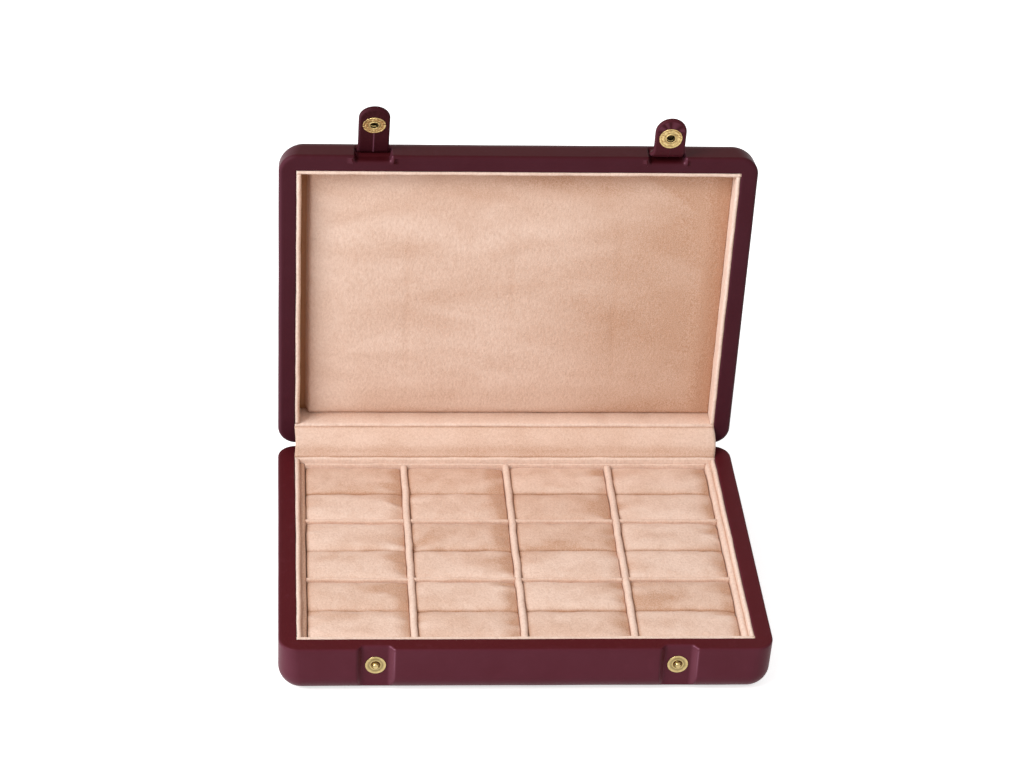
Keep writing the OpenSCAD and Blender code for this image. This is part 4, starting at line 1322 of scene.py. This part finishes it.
class RINGBOX_OT_snaps(bpy.types.Operator):
    """Make the studs, sockets, springs and caps of the snaps"""

    bl_idname = "ringbox.snaps"
    bl_label = "Snaps"

    def execute(self, context):
        s = context.scene.ringbox_strap
        pale = material("Pale brass", pale_brass)
        gilt = material("Gilt brass", gilt_brass)
        self.studs(s, pale)
        for side in SIDES:
            self.socket(side, s, gilt)
            self.spring(side, gilt)
            self.cap(side, s, gilt)
        return {"FINISHED"}

    def studs(self, s, finish):
        ball_r, ball_z, r = 1.9, 0.45, s.stud_r / MM
        depth = bpy.context.scene.ringbox_leather.base_recess
        profile = [(1e-3, ball_z + ball_r)]
        profile += arc(0, ball_z, ball_r, 84, -18, 18)
        profile += [(1.88, -0.1, 0.9), (2.05, -0.15, 1.0), (2.3, 0.0, 0.8), (2.5, 0.2, 0.2)]
        profile += [(2.65, 0.3), (2.85, 0.32), (3.0, 0.25, 0.3), (3.3, 0.13, 0.6), (3.7, 0.12, 0.5)]
        profile += [(4.05, 0.2, 0.35), (4.3, 0.3, 0.1)]
        profile += arc(r - 0.38, 0, 0.38, 100, -60, 10)
        profile += [(r - 0.6, -0.42), (1.3, -0.42), (1.3, -3.3), (1e-3, -3.4)]
        profile.reverse()
        low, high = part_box("snap_studs")
        parts = []
        for x in (low.x + s.stud_r, high.x - s.stud_r):
            place = Matrix.Translation((x, FRONT_Y + depth - 0.0001, (low.z + high.z) / 2))
            parts.append(lathe(profile, 64, place @ Matrix.Rotation(math.pi / 2, 4, "X")))
        points, faces = joined([part[:2] for part in parts])
        around = np.tile(np.linspace(0, 2 * math.pi, 64, endpoint=False), len(profile))
        # Painted shade: the dark groove around each stud's ball is kept at its upper right and lightened
        # elsewhere, as the shade falls.
        grime = parts[0][2] * (1 - 0.8 * (parts[0][2] > 0.7) * (1 - np.cos(around - 0.9)) / 2)
        grime = np.tile(grime, 2)
        piece = new_piece("studs", points, faces, finish, 5e-6, {"grime": grime})
        settle(piece, "base", "pale_brass", "snap_studs")

    def socket(self, side, s, finish):
        r, hole, t = s.socket_r / MM, HOLE_R, 0.45
        profile = [(hole, 0.0, 0.9)]
        profile += arc(hole + 0.28, 0.22, 0.28, 180, 40, 7)
        profile += [(2.8, 0.28, 0.3), (3.0, 0.18, 0.6), (3.3, 0.17, 0.4), (3.9, 0.3), (4.6, 0.3)]
        profile += [(5.0, 0.22, 0.45), (5.2, 0.27, 0.35), (5.4, 0.4)]
        profile += arc(r - t / 2, t / 2, t / 2, 100, -90, 8)
        # Painted shade: the inside of the socket's hole is painted fully dark.
        profile += [(BARREL_R, 0.0), (BARREL_R, BARREL_END, 1.0), (hole, BARREL_END, 1.0), (hole, -1.5, 1.0)]
        profile += [(hole + 0.4, -1.45, 1.0), (hole + 0.4, -0.75, 1.0), (hole, -0.7, 1.0), (hole, 0.0, 0.9)]
        profile.reverse()
        node = "snap_socket_" + side
        self.turning(node + "_ring", node, side, profile, finish)

    def turning(self, name, node, side, profile, finish):
        """A turned piece of a strap's snap."""
        points, faces, grime = lathe(profile, 72, snap_place(side))
        piece = new_piece(name, points, faces, finish, 5e-6, {"grime": grime})
        settle(piece, "strap_" + side, "gilt_brass", node)

    def spring(self, side, finish):
        node = "snap_spring_" + side
        tree = bpy.data.node_groups.get("Snap spring") or spring_tree()
        values = {"Radius": 2.29 * MM, "Wire": 0.3 * MM, "Turn": math.radians(300), "Finish": finish}
        maker = grown(node + "_wire", tree, values)
        maker.data.transform(snap_place(side) @ Matrix.Translation((0, 0, -1.08 * MM)))
        maker.data.shade_smooth()
        settle(maker, "strap_" + side, "gilt_brass", node)

    def cap(self, side, s, finish):
        r, h, t = s.cap_r / MM, 1.5, s.thickness / MM
        dome = (r * r + h * h) / (2 * h)
        profile = [(1e-3, -t - h)]
        for x in r * 0.985 * np.linspace(0.06, 1, 14):
            profile.append((x, -t - h + dome - math.sqrt(dome * dome - x * x)))
        profile += arc(r - 0.16, -t, 0.16, -40, 80, 5)
        profile += [(BARREL_R, -t + 0.1), (BARREL_R, CAP_END, 1.0), (1e-3, CAP_END, 1.0)]
        node = "snap_cap_" + side
        self.turning(node + "_dome", node, side, profile, finish)


class RINGBOX_OT_shells(bpy.types.Operator):
    """Give the wooden shells and the sole their finishes"""

    bl_idname = "ringbox.shells"
    bl_label = "Shells and sole"

    def execute(self, context):
        dress("base_shell", material("Plywood", wood_finish))
        dress("lid_shell", material("Plywood", wood_finish))
        low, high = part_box("base_sole")
        size, middle = (high - low) / 2, (high + low) / 2
        grid, faces = block(56, 38, 2)
        x, y = grid[:, 0] * size.x, grid[:, 1] * size.y
        r = 0.004
        over_x, over_y = np.maximum(np.abs(x) - size.x + r, 0), np.maximum(np.abs(y) - size.y + r, 0)
        far = np.hypot(over_x, over_y)
        pull = np.where(far > r, r / np.maximum(far, 1e-9), 1.0)
        x = np.sign(x) * (np.minimum(np.abs(x), size.x - r) + over_x * pull)
        y = np.sign(y) * (np.minimum(np.abs(y), size.y - r) + over_y * pull)
        points = np.stack([x, y, grid[:, 2] * size.z + middle.z], 1)
        piece = new_piece("sole", points, faces, material("Sole suede", sole_finish), 1e-7)
        settle(piece, "base", "sole_suede", "base_sole")
        return {"FINISHED"}


def dress(node, finish):
    """Gives a CAD node that stays its finish."""
    mesh = frame["nodes"][node].data
    mesh.materials.clear()
    mesh.materials.append(finish)


# Stage


class RINGBOX_OT_stage(bpy.types.Operator):
    """Set up the floor, the lights and the camera"""

    bl_idname = "ringbox.stage"
    bl_label = "Stage"

    def execute(self, context):
        scene = context.scene
        scene.view_settings.view_transform = "Standard"
        self.camera(scene)
        self.floor()
        self.world(scene)
        self.lamp("Window", (-1.4, -0.95, 1.55), 1.0, 38.0)
        self.lamp("Fill", (0.8, -1.5, 1.6), 1.6, 6.0)
        self.lamp("Back", (-0.4, 1.2, 1.9), 1.2, 4.0).visible_glossy = False
        return {"FINISHED"}

    def camera(self, scene):
        """The photograph's view, as fitted to the corners of the two rims."""
        data = bpy.data.cameras.new("Camera")
        camera = bpy.data.objects.new("Camera", data)
        scene.collection.objects.link(camera)
        yaw, pitch, roll = (math.radians(a) for a in (-3.8614, -34.8139, 2.263))
        f = Vector((-math.sin(yaw) * math.cos(pitch), math.cos(yaw) * math.cos(pitch), math.sin(pitch)))
        right = Vector((math.cos(yaw), math.sin(yaw), 0))
        up = right.cross(f)
        x_axis = math.cos(roll) * right + math.sin(roll) * up
        y_axis = -math.sin(roll) * right + math.cos(roll) * up
        turn = Matrix((x_axis, y_axis, -f)).transposed().to_4x4()
        camera.matrix_world = Matrix.Translation((-0.12688, -1.18060, 0.90946)) @ turn
        data.sensor_width = 36.0
        data.lens = 2786.14 * 36.0 / 1024
        data.shift_x = (512 - 430.20) / 1024
        data.shift_y = (455.67 - 384) / 1024
        data.clip_start, data.clip_end = 0.05, 20.0
        scene.camera = camera

    def floor(self):
        points = [(-4, -4, 0), (4, -4, 0), (4, 4, 0), (-4, 4, 0)]
        f = Finish("Floor")
        seen = f.node("ShaderNodeLightPath", {}, {}, "Is Camera Ray")
        seen = seen + f.node("ShaderNodeLightPath", {}, {}, "Is Glossy Ray")
        seen = seen + f.node("ShaderNodeLightPath", {}, {}, "Is Transmission Ray")
        shader = f.node("ShaderNodeBsdfDiffuse", {}, {"Color": (0.93, 0.93, 0.93)})
        glow = f.node("ShaderNodeEmission", {}, {"Color": (1, 1, 1), "Strength": seen * 0.62})
        both = f.node("ShaderNodeAddShader", {}, {0: shader, 1: glow})
        f.node("ShaderNodeOutputMaterial", {}, {"Surface": both})
        new_piece("floor", points, [(0, 1, 2, 3)], f.material)

    def world(self, scene):
        world = bpy.data.worlds.new("Studio")
        scene.world = world
        world.use_nodes = True
        tree = world.node_tree
        background = tree.nodes["Background"]
        path = tree.nodes.new("ShaderNodeLightPath")
        seen = Wire(tree, path.outputs["Is Camera Ray"]) + Wire(tree, path.outputs["Is Glossy Ray"])
        seen = seen + Wire(tree, path.outputs["Is Transmission Ray"])
        tree.links.new((seen * 0.53 + 0.47).out, background.inputs["Strength"])
        background.inputs["Color"].default_value = (1.0, 1.0, 1.0, 1.0)

    def lamp(self, name, place, size, power):
        data = bpy.data.lights.new(name, "AREA")
        data.energy = power
        data.size = size
        lamp = bpy.data.objects.new(name, data)
        bpy.context.scene.collection.objects.link(lamp)
        lamp.location = place
        aim = Vector((0, 0.02, 0.08)) - Vector(place)
        lamp.rotation_mode = "QUATERNION"
        lamp.rotation_quaternion = aim.to_track_quat("-Z", "Y")
        return lamp


class RINGBOX_PT_panel(bpy.types.Panel):
    bl_idname = "RINGBOX_PT_panel"
    bl_label = "Ring display box"
    bl_space_type = "VIEW_3D"
    bl_region_type = "UI"
    bl_category = "Ring box"

    def draw(self, context):
        for operator in OPERATORS:
            self.layout.operator(operator.bl_idname)
        for group in SETTINGS:
            box = self.layout.box()
            settings = getattr(context.scene, group)
            for name in settings.bl_rna.properties.keys():
                if name not in {"rna_type", "name"}:
                    box.prop(settings, name)


OPERATORS = (
    RINGBOX_OT_stage, RINGBOX_OT_covers, RINGBOX_OT_linings, RINGBOX_OT_tray, RINGBOX_OT_pads,
    RINGBOX_OT_panel, RINGBOX_OT_hinge, RINGBOX_OT_straps, RINGBOX_OT_snaps, RINGBOX_OT_shells,
)
SETTINGS = {
    "ringbox_leather": RINGBOX_PG_leather,
    "ringbox_suede": RINGBOX_PG_suede,
    "ringbox_strap": RINGBOX_PG_strap,
    "ringbox_colours": RINGBOX_PG_colours,
}


def register():
    for cls in (*SETTINGS.values(), *OPERATORS, RINGBOX_PT_panel):
        bpy.utils.register_class(cls)
    for name, cls in SETTINGS.items():
        setattr(bpy.types.Scene, name, PointerProperty(type=cls))


def unregister():
    for name in SETTINGS:
        delattr(bpy.types.Scene, name)
    for cls in reversed((*SETTINGS.values(), *OPERATORS, RINGBOX_PT_panel)):
        bpy.utils.unregister_class(cls)


def main():
    register()
    for operator in OPERATORS:
        group, name = operator.bl_idname.split(".")
        getattr(getattr(bpy.ops, group), name)()


if __name__ == "__main__":
    main()
